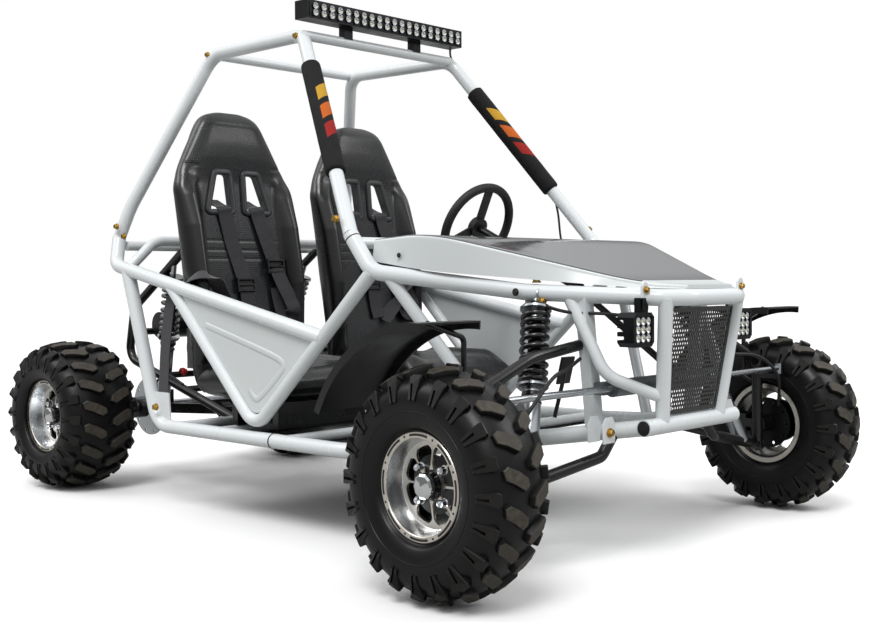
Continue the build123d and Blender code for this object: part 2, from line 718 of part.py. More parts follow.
def steering():
    """Rack in its housing, tie rods, and the column in two parts with a ball joint between."""
    x, z = fa + steer_arm_reach, rack_height
    centre = Vector(steering_wheel_x, seat_half_spacing, steering_wheel_height)
    down = Vector(cos(radians(column_slope)), 0, -sin(radians(column_slope)))
    joint = centre + down * column_length
    pinion = Vector(x, pinion_offset, z)
    slope = (pinion - joint).normalized()
    shaft_end = pinion - slope * (rack_rod_radius + 6)
    boss_from = pinion - slope * boss_length
    boss = extrude(Plane(boss_from, z_dir=slope) * Circle(boss_radius), boss_length)
    bore = extrude(Plane(boss_from - slope * 10, z_dir=slope) * Circle(shaft_radius + running_gap),
                   (shaft_end - boss_from).length + 12)
    housing = rod_y(x, z, -rack_half, rack_half, rack_housing_radius) + boss
    for side in (1, -1):
        plate_front = fa + upright_ahead + square_tube / 2
        plate_y = (side * (rack_half - 25), side * (rack_half + 30))
        housing += block((plate_front, x), plate_y, (z - 14, z + 14))
    reach = kingpin_half + 40
    rack_hole = rod_y(x, z, -reach, reach, rack_rod_radius + running_gap)
    add("rack_housing", housing - bore - rack_hole)
    rack = rod_y(x, z, -kingpin_half, kingpin_half, rack_rod_radius)
    for side in (1, -1):
        y = kingpin_half * side
        rack += rod((x, y, z - rod_end_height / 2), (x, y, z + rod_end_height / 2), rod_end_radius)
    add("tie_rods", rack)
    shaft = extrude(Plane(joint, z_dir=slope) * Circle(shaft_radius), (shaft_end - joint).length)
    ball = Pos(*joint) * Sphere(joint_ball_radius)
    add("steering_shaft", shaft + ball)
    column = extrude(Plane(centre, z_dir=down) * Circle(column_radius), column_length)
    cup = extrude(Plane(joint - down * 26, z_dir=down) * Circle(joint_ball_radius + 5), 26)
    hollow = Pos(*joint) * Sphere(joint_ball_radius + seat_gap)
    add("steering_column", column + cup - hollow)
    plane = Plane(centre, x_dir=(0, 1, 0), z_dir=down)
    wheel_rim = plane * Torus(steering_wheel_radius, steering_rim_radius)
    hub = extrude(plane.offset(-steering_hub_thick / 2) * Circle(steering_hub_radius), steering_hub_thick)
    wheel = wheel_rim + hub
    for angle in spoke_angles:
        spoke = Pos(steering_wheel_radius / 2, 0, 0) * Box(steering_wheel_radius, spoke_width, spoke_thick)
        wheel += plane * Rot(0, 0, angle) * spoke
    add("steering_wheel", wheel - column)
    dash = nodes["dash_bar"][0]
    at = centre + down * ((pillar_joint_x + dash_ahead - steering_wheel_x) / cos(radians(column_slope)))
    half = bearing_length / 2
    bearing_plane = Plane(at - down * half, z_dir=down)
    bearing = extrude(bearing_plane * Circle(column_radius + bearing_wall), bearing_length)
    hanger = block((at.X - 12, at.X + 12), (at.Y - 20, at.Y + 20), (at.Z, pillar_joint_height - dash_drop))
    hole = extrude(Plane(at - down * bearing_length, z_dir=down) * Circle(column_radius + running_gap),
                   2 * bearing_length)
    add("column_bracket", bearing + hanger - hole - dash)


def seat(y, bottom):
    """Cushion and back of one seat, each with its bolsters, and the straps through the back's windows."""
    half = seat_width / 2
    cushion = block((cushion_back_x, cushion_front_x), (y - half, y + half), (bottom, cushion_top))
    cushion = fillet(cushion.edges(), 30)
    outline = back_outline + [(-out, high) for out, high in back_outline[::-1]]
    face = make_face(Polyline(*outline, close=True))
    face = fillet(face.vertices().sort_by(Axis.Y)[2:], back_corner)
    back = extrude(Plane.YZ * face, -back_thickness)
    back = chamfer(back.faces().sort_by(Axis.X)[-1].edges(), back_edge)
    straps = []
    middle = (cushion_back_x + cushion_front_x) / 2
    for hand in (1, -1):
        out = hand * (half - 4)
        rolls = [(0, [(ahead, hand * high) for ahead, high in back_bolster]),
                 (y, [(middle + ahead, hand * (cushion_top + high)) for ahead, high in cushion_bolster])]
        back_roll, cushion_roll = [
            extrude(Plane((0, shift + out, 0), x_dir=(1, 0, 0), z_dir=(0, -hand, 0))
                    * make_face(Polyline(*corners, close=True)), bolster_width) for shift, corners in rolls]
        back += back_roll
        cushion += cushion_roll
        window = make_face(Polyline(*[(hand * out, high) for out, high in harness_window], close=True))
        window = fillet(window.vertices(), harness_corner)
        back -= extrude(Plane.YZ.offset(-2 * back_thickness) * window, 3 * back_thickness)
        strap_y = hand * sum(out for out, high in harness_window) / len(harness_window)
        strap = block((seat_gap, seat_gap + strap_thick), (-strap_width / 2, strap_width / 2),
                      (strap_foot, harness_window[0][1]))
        straps.append(Pos(0, strap_y, 0) * strap)
    return cushion, back, straps


def cockpit():
    """Floor, seats with their harness, door panels, pedals and hood."""
    floor_top = sill_height - brace_tube / 2 - seat_gap
    floor = block((rear_foot_x + floor_bar_back - 15, pillar_base_x - sill_front_back),
                  (-sill_half_width + 30, sill_half_width - 30), (floor_top - sheet, floor_top))
    add("floor_pan", floor)
    cross_top = sill_height + brace_tube / 2
    bottom = cushion_top - cushion_thickness
    for side in (1, -1):
        y = seat_half_spacing * side
        cushion, back, straps = seat(y, bottom)
        add("seat_cushions", cushion)
        for x in seat_leg_places:
            leg = block((x - 12, x + 12), (y - seat_leg_half, y + seat_leg_half), (cross_top, bottom))
            add("seat_frames", leg)
        back_foot = cushion_back_x - seat_gap + back_contact * tan(radians(back_lean))
        lean = Pos(back_foot, y, bottom + back_foot_rise) * Rot(0, -back_lean, 0)
        add("seat_backs", lean * back)
        add("harness_straps", *[lean * strap for strap in straps])
        panel_plane = Plane((0, sill_half_width * side + sheet / 2, 0), x_dir=(1, 0, 0), z_dir=(0, -1, 0))
        corners = [(p[0], p[2]) for p in (vee_top, vee_foot, rail_end)]
        inset = main_tube / 2 + seat_gap
        shape = offset(make_face(Polyline(*corners, close=True)), -inset, kind=Kind.INTERSECTION)
        shape = fillet(shape.vertices().sort_by(Axis.Y)[0], vee_bend - main_tube / 2)
        add("door_panels", extrude(panel_plane * shape, sheet))
    pedal_bar = nodes["floor_crossmembers"][-1]
    bar_x = pillar_base_x - floor_bar_front
    for y in pedal_places:
        arm = bar([(bar_x, y, sill_height), (bar_x + 45, y, pedal_top - 30)], 12)
        pad = Pos(bar_x + 45, y, pedal_top - 30) * Rot(0, 15, 0) * Box(6, 56, 80)
        add("pedals", arm + pad - pedal_bar)
    sections = []
    for inset in (0, sheet):
        faces = []
        for ahead, top_half, low_half, top_z, low_z in hood_sections:
            outline = [(-low_half + inset, low_z - 2 * inset), (low_half - inset, low_z - 2 * inset),
                       (top_half - inset, top_z - inset), (-top_half + inset, top_z - inset)]
            ends = {hood_sections[0][0]: -inset, hood_sections[-1][0]: inset}
            plane = Plane((fa + ahead - ends.get(ahead, 0), 0, 0), x_dir=(0, 1, 0), z_dir=(1, 0, 0))
            faces.append(plane * make_face(Polyline(*outline, close=True)))
        sections.append(loft(faces, ruled=True))
    add("hood", sections[0] - sections[1])


def lights():
    """Finned light bar on the roof, and two lamps that hang from the front hoop."""
    x, z = cage_front_x + 14, light_bar_centre
    back, face = x - light_bar_depth / 2, x + light_bar_depth / 2 - 8
    body = block((back, face), (-light_bar_length / 2, light_bar_length / 2),
                 (z - light_bar_height / 2, z + light_bar_height / 2))
    pitch = light_bar_height / (light_bar_fins + 1)
    for k in range(light_bar_fins):
        level = z + pitch * (k - (light_bar_fins - 1) / 2)
        body -= block((back - 1, back + 16), (-light_bar_length / 2 + 8, light_bar_length / 2 - 8),
                      (level - pitch / 4, level + pitch / 4))
    for side in (1, -1):
        y = side * bracket_half
        body += block((cage_front_x - 12, cage_front_x + 12), (y - 15, y + 15),
                      (cage_height, z - light_bar_height / 2 + 1)) - nodes["cage_cross_bars"][0]
        pod_x, pod_y = fa + pod_ahead, side * pod_half
        back_x, face_x = pod_x - pod_depth / 2, pod_x + pod_depth / 2
        pod = block((back_x, face_x), (pod_y - pod_size / 2, pod_y + pod_size / 2),
                    (pod_height - pod_size / 2, pod_height + pod_size / 2))
        pod = chamfer(pod.edges().filter_by(Axis.X), 10)
        for k in (-1, 0, 1):
            pod -= block((back_x - 1, back_x + 18), (pod_y - pod_size, pod_y + pod_size),
                         (pod_height + 18 * k - 4, pod_height + 18 * k + 4))
        recess = block((face_x - 8, face_x + 1), (pod_y - pod_lens / 2, pod_y + pod_lens / 2),
                       (pod_height - pod_lens / 2, pod_height + pod_lens / 2))
        hanger = block((pod_x - 12, pod_x + 12), (pod_y - side * 30, pod_y - side * 10),
                       (pod_height + pod_size / 2 - 2, hoop_height))
        add("lamp_pods", pod - recess + (hanger - hoop))
        lens_half = pod_lens / 2 - seat_gap
        lens = block((face_x - 8 + seat_gap, face_x - 2), (pod_y - lens_half, pod_y + lens_half),
                     (pod_height - lens_half, pod_height + lens_half))
        add("lamp_pod_lenses", lens)
    lens = block((face, face + 8), (-light_bar_length / 2 + 6, light_bar_length / 2 - 6),
                 (z - light_bar_height / 2 + 6, z + light_bar_height / 2 - 6))
    add("light_bar", body)
    add("light_bar_lens", lens)


def grille():
    """The flat sheet between the grille posts, with staggered rows of holes."""
    foot, top = along(post_foot, post_top, 0.085), along(post_foot, post_top, 0.915)
    run = Vector(top[0] - foot[0], 0, top[2] - foot[2])
    middle = ((foot[0] + top[0]) / 2, 0, (foot[2] + top[2]) / 2)
    plane = Plane(middle, x_dir=(0, 1, 0), z_dir=(run.Z, 0, -run.X))
    inset = side_tube / 2 + 2 * seat_gap
    half_height = run.length / 2
    corners = [(-foot[1] + inset, -half_height), (foot[1] - inset, -half_height),
               (top[1] - inset, half_height), (-top[1] + inset, half_height)]
    holes = []
    rows = int(2 * (half_height - grille_pitch * 0.6) / grille_pitch)
    for row in range(rows + 1):
        level = (row - rows / 2) * grille_pitch
        share = (level + half_height) / (2 * half_height)
        reach = foot[1] + (top[1] - foot[1]) * share - inset - grille_pitch * 0.7
        count = int(2 * reach / grille_pitch) + 1
        if (count + row) % 2:
            count -= 1
        holes += [Pos((k - (count - 1) / 2) * grille_pitch, level) * RegularPolygon(grille_hole, 6)
                  for k in range(count)]
    sheet_face = make_face(Polyline(*corners, close=True)) - holes
    add("grille", extrude(plane * sheet_face, sheet))


def engine():
    """The engine behind the seats: crankcase with round covers, finned cylinder, exhaust and drive chain."""
    x = rear_axle_x + engine_ahead
    top = engine_floor + crankcase_height
    half = engine_length / 2
    crank = block((x - half, x + half), (-engine_half, engine_half), (engine_floor, top))
    crank = fillet(crank.edges().filter_by(Axis.Z), 20)
    cover_z = engine_floor + crankcase_height - cover_radius + 10
    crank += rod_y(x, cover_z + 6, -engine_half, -engine_half - 24, cover_radius - 12)
    add("engine_block", crank)
    pitch = cylinder_height / fin_count
    barrel = block((x - cylinder_core / 2, x + cylinder_core / 2), (-cylinder_core / 2, cylinder_core / 2),
                   (top, top + cylinder_height))
    for k in range(fin_count):
        level = top + pitch * (k + 0.5)
        barrel += block((x - fin_width / 2, x + fin_width / 2), (-fin_width / 2, fin_width / 2),
                        (level - fin_thick / 2, level + fin_thick / 2))
    add("engine_cylinder", barrel)
    can_x = rear_axle_x + muffler_ahead
    can = rod_y(can_x, muffler_height, -muffler_half, muffler_half, muffler_radius)
    for side in (1, -1):
        y = side * muffler_half * 0.63
        can += bar([(can_x, y, muffler_height), (guard_cross[0], y, guard_cross[2])], 12)
    port_z = top + cylinder_height * 0.6
    points = [(x - fin_width / 2 - seat_gap, 0, port_z), (can_x, 0, port_z), (can_x, 0, muffler_height)]
    pipe = bar(points, pipe_tube, [pipe_tube])
    add("muffler", can + pipe - nodes["engine_guard"][0])
    drive = (x, engine_floor + drive_sprocket_rise)
    plane = Plane((0, rear_disc_half + chain_width / 2, 0), x_dir=(1, 0, 0), z_dir=(0, -1, 0))
    loops = []
    for grow in (0, chain_height / 2, chain_height):
        circles = [Pos(rear_axle_x, rear_wheel_z) * Circle(sprocket_radius + caliper_gap + grow),
                   Pos(*drive) * Circle(drive_sprocket_radius - 2 + grow)]
        loops.append(make_hull([edge for circle in circles for edge in circle.edges()]))
    chain = extrude(plane * (loops[2] - loops[0]), chain_width)
    track = loops[1].wire()
    for k in range(chain_links):
        spot, aim = track @ (k / chain_links), track % (k / chain_links)
        link = Plane((spot.X, rear_disc_half, spot.Y), x_dir=(aim.X, 0, aim.Y), z_dir=(0, -1, 0))
        chain += link * Box(16, chain_height - 2, chain_width + 6)
    hub = rod_y(*drive, engine_half + seat_gap, rear_disc_half + chain_width / 2, 14)
    wheel = rod_y(*drive, rear_disc_half - 3, rear_disc_half + 3, drive_sprocket_radius)
    add("drive_chain", chain + hub + wheel)


def rear_axle():
    """Live axle with its wheels, drilled brake disc and toothed sprocket."""
    centre_x, z = rear_axle_x, rear_wheel_z
    face = rear_rim_width / 2 - rim_disc_inset
    axle = rod_y(centre_x, z, -rear_half - face - 15, rear_half + face + 15, axle_radius)
    axle += drilled_disc(centre_x, z, -rear_disc_half - disc_thick / 2, -rear_disc_half + disc_thick / 2,
                         rear_disc_radius)
    teeth = [polar(sprocket_radius - tooth_height * (k % 2), 180 * k / sprocket_teeth)
             for k in range(2 * sprocket_teeth)]
    plane = Plane((centre_x, rear_disc_half - 3, z), x_dir=(1, 0, 0), z_dir=(0, 1, 0))
    axle += extrude(plane * make_face(Polyline(*teeth, close=True)), 6)
    tyre = knobbly_tyre(rear_tyre_width, rear_tyre_od, rear_rim_width)
    for side in (1, -1):
        centre = (centre_x, rear_half * side, z)
        add("rear_tyres", Pos(*centre) * tyre)
        add("rear_rims", rim(centre, rear_rim_width, side, axle_radius + running_gap, face + 18))
    add("rear_axle", axle)


def write_parts():
    os.makedirs("parts", exist_ok=True)
    for name, shapes in nodes.items():
        solids = [s for shape in shapes for s in shape.solids()]
        export_step(Compound(children=solids) if len(solids) > 1 else solids[0], f"parts/{name}.step")


hoop, bumper_bar, parts = frame_tubes()
cage(hoop, parts)
front_frame(hoop, bumper_bar, parts)
seat_bar = cross_members(parts)
engine_frame(seat_bar)
front_suspension()
front_tyre = knobbly_tyre(front_tyre_width, front_tyre_od, front_rim_width)
for side, name in ((1, "left"), (-1, "right")):
    front_corner(side, name)
steering()
cockpit()
lights()
grille()
engine()
rear_axle()
write_parts()
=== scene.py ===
import bmesh
import bpy
import math
import numpy as np
from mathutils import Matrix, Vector


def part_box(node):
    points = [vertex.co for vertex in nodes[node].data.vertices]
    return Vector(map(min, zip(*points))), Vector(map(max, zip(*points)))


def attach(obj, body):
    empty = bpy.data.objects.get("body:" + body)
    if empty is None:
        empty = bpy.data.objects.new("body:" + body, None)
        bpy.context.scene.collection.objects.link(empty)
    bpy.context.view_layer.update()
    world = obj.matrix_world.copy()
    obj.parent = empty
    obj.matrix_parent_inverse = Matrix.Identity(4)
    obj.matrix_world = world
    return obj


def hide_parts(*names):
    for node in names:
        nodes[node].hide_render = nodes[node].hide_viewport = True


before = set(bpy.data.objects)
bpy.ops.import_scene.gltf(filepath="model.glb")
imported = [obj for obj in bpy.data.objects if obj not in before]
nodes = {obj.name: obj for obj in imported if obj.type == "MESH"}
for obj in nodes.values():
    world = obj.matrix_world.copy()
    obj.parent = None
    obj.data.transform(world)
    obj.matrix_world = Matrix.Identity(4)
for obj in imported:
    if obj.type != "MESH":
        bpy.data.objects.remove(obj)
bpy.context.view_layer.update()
mm = 0.001
turn = 2 * math.pi
sides = {"left": 1, "right": -1}
square = np.array([(-1, -1), (1, -1), (1, 1), (-1, 1)])


def hexColour(code):
    # sRGB hex to linear red, green, blue and full alpha
    srgb = np.array([int(code[k:k + 2], 16) for k in (1, 3, 5)]) / 255.0
    linear = np.where(srgb <= 0.04045, srgb / 12.92, ((srgb + 0.055) / 1.055) ** 2.4)
    return (*linear.tolist(), 1.0)


def fill(tree, node, inputs):
    # sets inputs of a node; each is a plain value or another node's output socket
    for key, value in inputs.items():
        if isinstance(value, bpy.types.NodeSocket):
            tree.links.new(value, node.inputs[key])
        else:
            node.inputs[key].default_value = value


def addNode(tree, kind, settings=None, inputs=None, output=0):
    # one node with its settings and inputs; gives back one output socket, or the node where it has none
    node = tree.nodes.new("ShaderNode" + kind)
    for key, value in (settings or {}).items():
        setattr(node, key, value)
    fill(tree, node, inputs or {})
    return node.outputs[output] if node.outputs else node


def startMaterial(name):
    # an empty material: its tree, its shader, and the Object coordinates that every pattern reads
    material = bpy.data.materials.new(name)
    material.use_nodes = True
    tree = material.node_tree
    tree.nodes.clear()
    surface = addNode(tree, "BsdfPrincipled")
    addNode(tree, "OutputMaterial", inputs={"Surface": surface})
    return material, tree, surface.node, addNode(tree, "TexCoord", output="Object")


def perMetre(sizeMm):
    # a texture scale that gives one cell every sizeMm
    return 1.0 / (sizeMm * mm)


def seatMap(tree):
    # the two coordinates, in mm, of the map that seats, straps and pads carry
    split = addNode(tree, "SeparateXYZ", inputs={"Vector": addNode(tree, "UVMap", {"uv_map": "seatMap"})}).node
    return split.outputs["X"], split.outputs["Y"]


def sineWaves(tree, values, pitches):
    # the sine of each value, repeating at its pitch
    phases = [addNode(tree, "Math", {"operation": "MULTIPLY"}, {0: value, 1: turn / pitch})
              for value, pitch in zip(values, pitches)]
    return [addNode(tree, "Math", {"operation": "SINE"}, {0: phase}) for phase in phases]


# Finishes that share one build: two close tones in broad patches, a roughness that wanders, a fine grain.
# tones, rough (low, high), metal, patch size mm, grain size mm, grain depth mm, coat (weight, roughness)
plainCommon = dict(metal=0.0, coat=(0.0, 0.1))
plainFinishes = {
    # polyester powder coat over steel: glossy white with a faint orange peel
    "powderCoatWhite": dict(tones=("#DADFE1", "#E1E5E7"), rough=(0.24, 0.34), patch=140, grain=2.6, depth=0.035,
                            coat=(0.35, 0.08)),
    # satin black powder coat on arms and guards: soft broad highlights
    "powderCoatBlack": dict(tones=("#060607", "#0B0B0D"), rough=(0.24, 0.36), patch=60, grain=1.6, depth=0.05,
                            coat=(0.2, 0.2)),
    # painted sheet of the doors and hood sides: pale, cooler than the tubes, satin
    "palePaintedSheet": dict(tones=("#CDD2D3", "#D4D8D8"), rough=(0.28, 0.38), patch=220, grain=3.0, depth=0.02,
                             coat=(0.15, 0.15)),
    # gloss ABS hood skin: mid grey, mirror-like at a low angle
    "glossGreyPlastic": dict(tones=("#3E4347", "#474C50"), rough=(0.1, 0.18), patch=180, grain=90.0, depth=1.2,
                             coat=(0.6, 0.05)),
    # injection moulded polypropylene of fenders, bezels and buckles: black, fine spark texture
    "mouldedBlackPlastic": dict(tones=("#08090A", "#0E0F10"), rough=(0.28, 0.42), patch=50, grain=0.9,
                                depth=0.06),
    # soft grip rubber of the steering wheel and boots
    "gripRubber": dict(tones=("#111112", "#1A1A1B"), rough=(0.5, 0.66), patch=30, grain=1.2, depth=0.12),
    # sand-cast aluminium of the engine: dull, pitted
    "castAluminium": dict(tones=("#7E8184", "#9A9DA0"), rough=(0.42, 0.6), metal=1.0, patch=35, grain=1.5,
                          depth=0.14),
    # zinc plated steel: bright, slightly blue
    "zincSteel": dict(tones=("#B4B8BC", "#BCC0C4"), rough=(0.2, 0.3), metal=1.0, patch=60, grain=0.8,
                      depth=0.02),
    # yellow passivated bolts and nuts: gold with a rainbow of tone
    "yellowZinc": dict(tones=("#9C7A34", "#C8A45A"), rough=(0.26, 0.4), metal=1.0, patch=6, grain=0.8,
                       depth=0.02),
    # machined and clear-coated alloy of the rims
    "machinedAlloy": dict(tones=("#DAD4CB", "#E6E1D9"), rough=(0.26, 0.38), metal=1.0, patch=25, grain=0.7,
                          depth=0.012, coat=(0.4, 0.06)),
    # turned and polished barrel of the rims: cooler than the lip, with streaks
    "polishedBarrel": dict(tones=("#D2D6DA", "#E4E7EA"), rough=(0.22, 0.3), metal=1.0, patch=70, grain=0.7,
                           depth=0.012),
    # grey moulded surround of the harness windows
    "bezelPlastic": dict(tones=("#2C2E30", "#343638"), rough=(0.34, 0.46), patch=40, grain=0.9, depth=0.04),
    # gloss black in the rim's windows and slots: black paint, and behind the windows also painted shade for the
    # dark inside the wheel
    "windowBlack": dict(tones=("#050506", "#0A0A0B"), rough=(0.2, 0.32), patch=40, grain=1.2, depth=0.02,
                        coat=(0.3, 0.1)),
    # chrome plate on strut rods and small caps
    "chromePlate": dict(tones=("#D4D6D8", "#E2E4E6"), rough=(0.05, 0.1), metal=1.0, patch=60, grain=2.0,
                        depth=0.004),
    # black anodised extrusion of the lamps: satin metal that is almost black
    "blackAnodised": dict(tones=("#131416", "#1D1E21"), rough=(0.3, 0.42), metal=0.6, patch=40, grain=0.8,
                          depth=0.02),
    # gloss black enamel on spring wire
    "glossBlackWire": dict(tones=("#08080A", "#0D0D10"), rough=(0.14, 0.24), patch=30, grain=2.0, depth=0.01,
                           coat=(0.6, 0.06)),
    # yellow-white phosphor under the lamps' small lenses
    "ledPhosphor": dict(tones=("#E2DCB4", "#F0ECD2"), rough=(0.1, 0.2), patch=4, grain=1.0, depth=0.01,
                        coat=(0.8, 0.03)),
    # red moulded grips and caps
    "redPlastic": dict(tones=("#A81B1B", "#BF2424"), rough=(0.3, 0.4), patch=20, grain=1.0, depth=0.02,
                       coat=(0.2, 0.1)),
}


def plainFinish(name):
    look = {**plainCommon, **plainFinishes[name]}
    material, tree, shader, place = startMaterial(name)
    patches = addNode(tree, "TexNoise", inputs={"Vector": place, "Scale": perMetre(look["patch"]),
                                                "Detail": 3.0})
    tones = addNode(tree, "Mix", {"data_type": "RGBA"},
                    {"Factor": patches, 6: hexColour(look["tones"][0]), 7: hexColour(look["tones"][1])}, 2)
    wander = addNode(tree, "MapRange", inputs={"Value": patches, "From Min": 0.3, "From Max": 0.7,
                                               "To Min": look["rough"][0], "To Max": look["rough"][1]})
    grain = addNode(tree, "TexNoise", inputs={"Vector": place, "Scale": perMetre(look["grain"]), "Detail": 2.0})
    bump = addNode(tree, "Bump", inputs={"Height": grain, "Distance": look["depth"] * mm, "Strength": 1.0})
    fill(tree, shader, {"Base Color": tones, "Roughness": wander, "Normal": bump, "Metallic": look["metal"],
                        "Coat Weight": look["coat"][0], "Coat Roughness": look["coat"][1]})
    return material


def tyreRubber():
    # moulded carbon-black rubber: deep grey, paler and dusty where the lugTop attribute marks the tops
    material, tree, shader, place = startMaterial("tyreRubber")
    dust = addNode(tree, "TexNoise", inputs={"Vector": place, "Scale": perMetre(14), "Detail": 5.0,
                                             "Roughness": 0.65})
    top = addNode(tree, "Attribute", {"attribute_name": "lugTop"}, output="Fac")
    worn = addNode(tree, "Math", {"operation": "MULTIPLY"}, {0: dust, 1: top})
    body = addNode(tree, "Mix", {"data_type": "RGBA"},
                   {"Factor": dust, 6: hexColour("#09090A"), 7: hexColour("#0F0F11")}, 2)
    tone = addNode(tree, "Mix", {"data_type": "RGBA"}, {"Factor": worn, 6: body, 7: hexColour("#5C564D")}, 2)
    rough = addNode(tree, "MapRange", inputs={"Value": worn, "To Min": 0.34, "To Max": 0.8})
    grain = addNode(tree, "TexNoise", inputs={"Vector": place, "Scale": perMetre(1.8), "Detail": 3.0})
    bump = addNode(tree, "Bump", inputs={"Height": grain, "Distance": 0.16 * mm, "Strength": 1.0})
    fill(tree, shader, {"Base Color": tone, "Roughness": rough, "Normal": bump, "Specular IOR Level": 0.3})
    return material


def seatVinyl():
    # embossed vinyl: a lattice of small raised diamonds on the panels, fine leather grain on the bolsters; the
    # panels carry a painted sheen, a lighter grey than the bolsters
    material, tree, shader, place = startMaterial("seatVinyl")
    diamond, pore, patch = 10.4, 1.9, 90    # period of the lattice, size of the pores and of the patches, in mm
    panel = addNode(tree, "Attribute", {"attribute_name": "panel"}, output="Fac")
    out, up = seatMap(tree)
    legs = [addNode(tree, "Math", {"operation": "MULTIPLY_ADD"}, {0: up, 1: sign, 2: out})
            for sign in (1.0, -1.0)]
    waves = sineWaves(tree, legs, (diamond, diamond))
    lattice = addNode(tree, "Math", {"operation": "MULTIPLY"}, {0: waves[0], 1: waves[1]})
    diamonds = addNode(tree, "MapRange", {"interpolation_type": "SMOOTHSTEP"},
                       {"Value": lattice, "From Min": -0.35, "From Max": 0.45})
    relief = addNode(tree, "Math", {"operation": "MULTIPLY"}, {0: diamonds, 1: panel})
    pores = addNode(tree, "TexVoronoi", {"feature": "DISTANCE_TO_EDGE"},
                    {"Vector": place, "Scale": perMetre(pore)}, "Distance")
    fine = addNode(tree, "Math", {"operation": "MULTIPLY_ADD"}, {0: pores, 1: 0.25, 2: relief})
    bump = addNode(tree, "Bump", inputs={"Height": fine, "Distance": 0.55 * mm, "Strength": 0.9})
    broad = addNode(tree, "TexNoise", inputs={"Vector": place, "Scale": perMetre(patch), "Detail": 3.0})
    # painted sheen: the panels take a lighter grey than the bolsters, in place of the sky's reflection on them
    tone = addNode(tree, "Mix", {"data_type": "RGBA"},
                   {"Factor": panel, 6: hexColour("#090A0B"), 7: hexColour("#15171A")}, 2)
    rough = addNode(tree, "MapRange", inputs={"Value": broad, "From Min": 0.3, "From Max": 0.7,
                                              "To Min": 0.24, "To Max": 0.34})
    fill(tree, shader, {"Base Color": tone, "Roughness": rough, "Normal": bump, "Coat Weight": 0.3,
                        "Coat Roughness": 0.16})
    return material


def wovenWebbing():
    # polyester harness webbing: charcoal, ribs across the width every 1.6 mm, drawn at 3 mm so that they show
    material, tree, shader, place = startMaterial("wovenWebbing")
    heights = sineWaves(tree, seatMap(tree), (3.4, 3.0))
    weave = addNode(tree, "Math", {"operation": "MULTIPLY_ADD"}, {0: heights[0], 1: 0.5, 2: heights[1]})
    bump = addNode(tree, "Bump", inputs={"Height": weave, "Distance": 0.25 * mm, "Strength": 0.8})
    fuzz = addNode(tree, "TexNoise", inputs={"Vector": place, "Scale": perMetre(9), "Detail": 4.0})
    tone = addNode(tree, "Mix", {"data_type": "RGBA"},
                   {"Factor": fuzz, 6: hexColour("#201F23"), 7: hexColour("#312F35")}, 2)
    fill(tree, shader, {"Base Color": tone, "Normal": bump, "Roughness": 0.72, "Sheen Weight": 0.35,
                        "Sheen Roughness": 0.4})
    return material


def padFabric():
    # woven nylon sleeve: black, a plain weave of 1.4 mm drawn at 2.4 mm, slanted printed stripes in front
    material, tree, shader, place = startMaterial("padFabric")
    ground, stripes = "#0F0F10", ((0.08, "#C79A2C"), (0.34, "#C8611E"), (0.6, "#9C1F1A"))
    stripe, frontHalf, pitch = 0.18, 24.0, 2.4    # share of the run, half the print, the weave
    around, down = seatMap(tree)
    slant = addNode(tree, "Math", {"operation": "MULTIPLY_ADD"}, {0: around, 1: 0.8, 2: down})
    along = addNode(tree, "MapRange", inputs={"Value": slant, "From Min": 70.0, "From Max": 330.0})
    bands = addNode(tree, "ValToRGB", inputs={"Fac": along})
    ramp = bands.node.color_ramp
    ramp.interpolation = "CONSTANT"
    ramp.elements.remove(ramp.elements[0])
    ramp.elements[0].position = 0.0
    ramp.elements[0].color = hexColour(ground)
    for spot, code in stripes:
        ramp.elements.new(spot).color = hexColour(code)
        ramp.elements.new(spot + stripe).color = hexColour(ground)
    front = addNode(tree, "Math", {"operation": "COMPARE"}, {0: around, 1: 0.0, 2: frontHalf})
    tone = addNode(tree, "Mix", {"data_type": "RGBA"}, {"Factor": front, 6: hexColour(ground), 7: bands}, 2)
    heights = sineWaves(tree, (around, down), (pitch, pitch))
    weave = addNode(tree, "Math", {"operation": "MULTIPLY"}, {0: heights[0], 1: heights[1]})
    pucker = addNode(tree, "TexNoise", inputs={"Vector": place, "Scale": perMetre(26), "Detail": 3.0})
    relief = addNode(tree, "Math", {"operation": "MULTIPLY_ADD"}, {0: pucker, 1: 8.0, 2: weave})
    bump = addNode(tree, "Bump", inputs={"Height": relief, "Distance": 0.2 * mm, "Strength": 1.0})
    fill(tree, shader, {"Base Color": tone, "Normal": bump, "Roughness": 0.74, "Specular IOR Level": 0.3})
    return material


finishes = {name: plainFinish(name) for name in plainFinishes}
for made in (padFabric(), tyreRubber(), seatVinyl(), wovenWebbing()):
    finishes[made.name] = made
print("stage: finishes", len(finishes))


def circle(count, radius):
    # points round a circle
    angle = np.arange(count) * turn / count
    return np.stack([radius * np.cos(angle), radius * np.sin(angle)], -1)


def gridFaces(rows, columns, wrapRows=False, wrapColumns=False):
    # quads that join neighbours of a grid of points, numbered row by row
    i = np.arange(rows if wrapRows else rows - 1)[:, None]
    j = np.arange(columns if wrapColumns else columns - 1)[None, :]
    below, right = (i + 1) % rows, (j + 1) % columns
    quads = np.stack(np.broadcast_arrays(i * columns + j, i * columns + right, below * columns + right,
                                         below * columns + j), -1)
    return quads.reshape(-1, 4)


def ringStack(rings):
    # a closed skin: quads between neighbouring rings, and a flat cap on the first and the last
    count, corners = rings.shape[:2]
    caps = np.stack([np.arange(corners)[::-1], (count - 1) * corners + np.arange(corners)])
    return rings.reshape(-1, 3), [gridFaces(count, corners, wrapColumns=True), caps]


def frameAlong(path, up):
    # unit vectors at each point of a path: along it, to its side, and over it
    step = np.gradient(path, axis=0)
    step /= np.linalg.norm(step, axis=1, keepdims=True)
    side = np.cross(step, np.asarray(up, float))
    side /= np.linalg.norm(side, axis=1, keepdims=True)
    return step, side, np.cross(side, step)


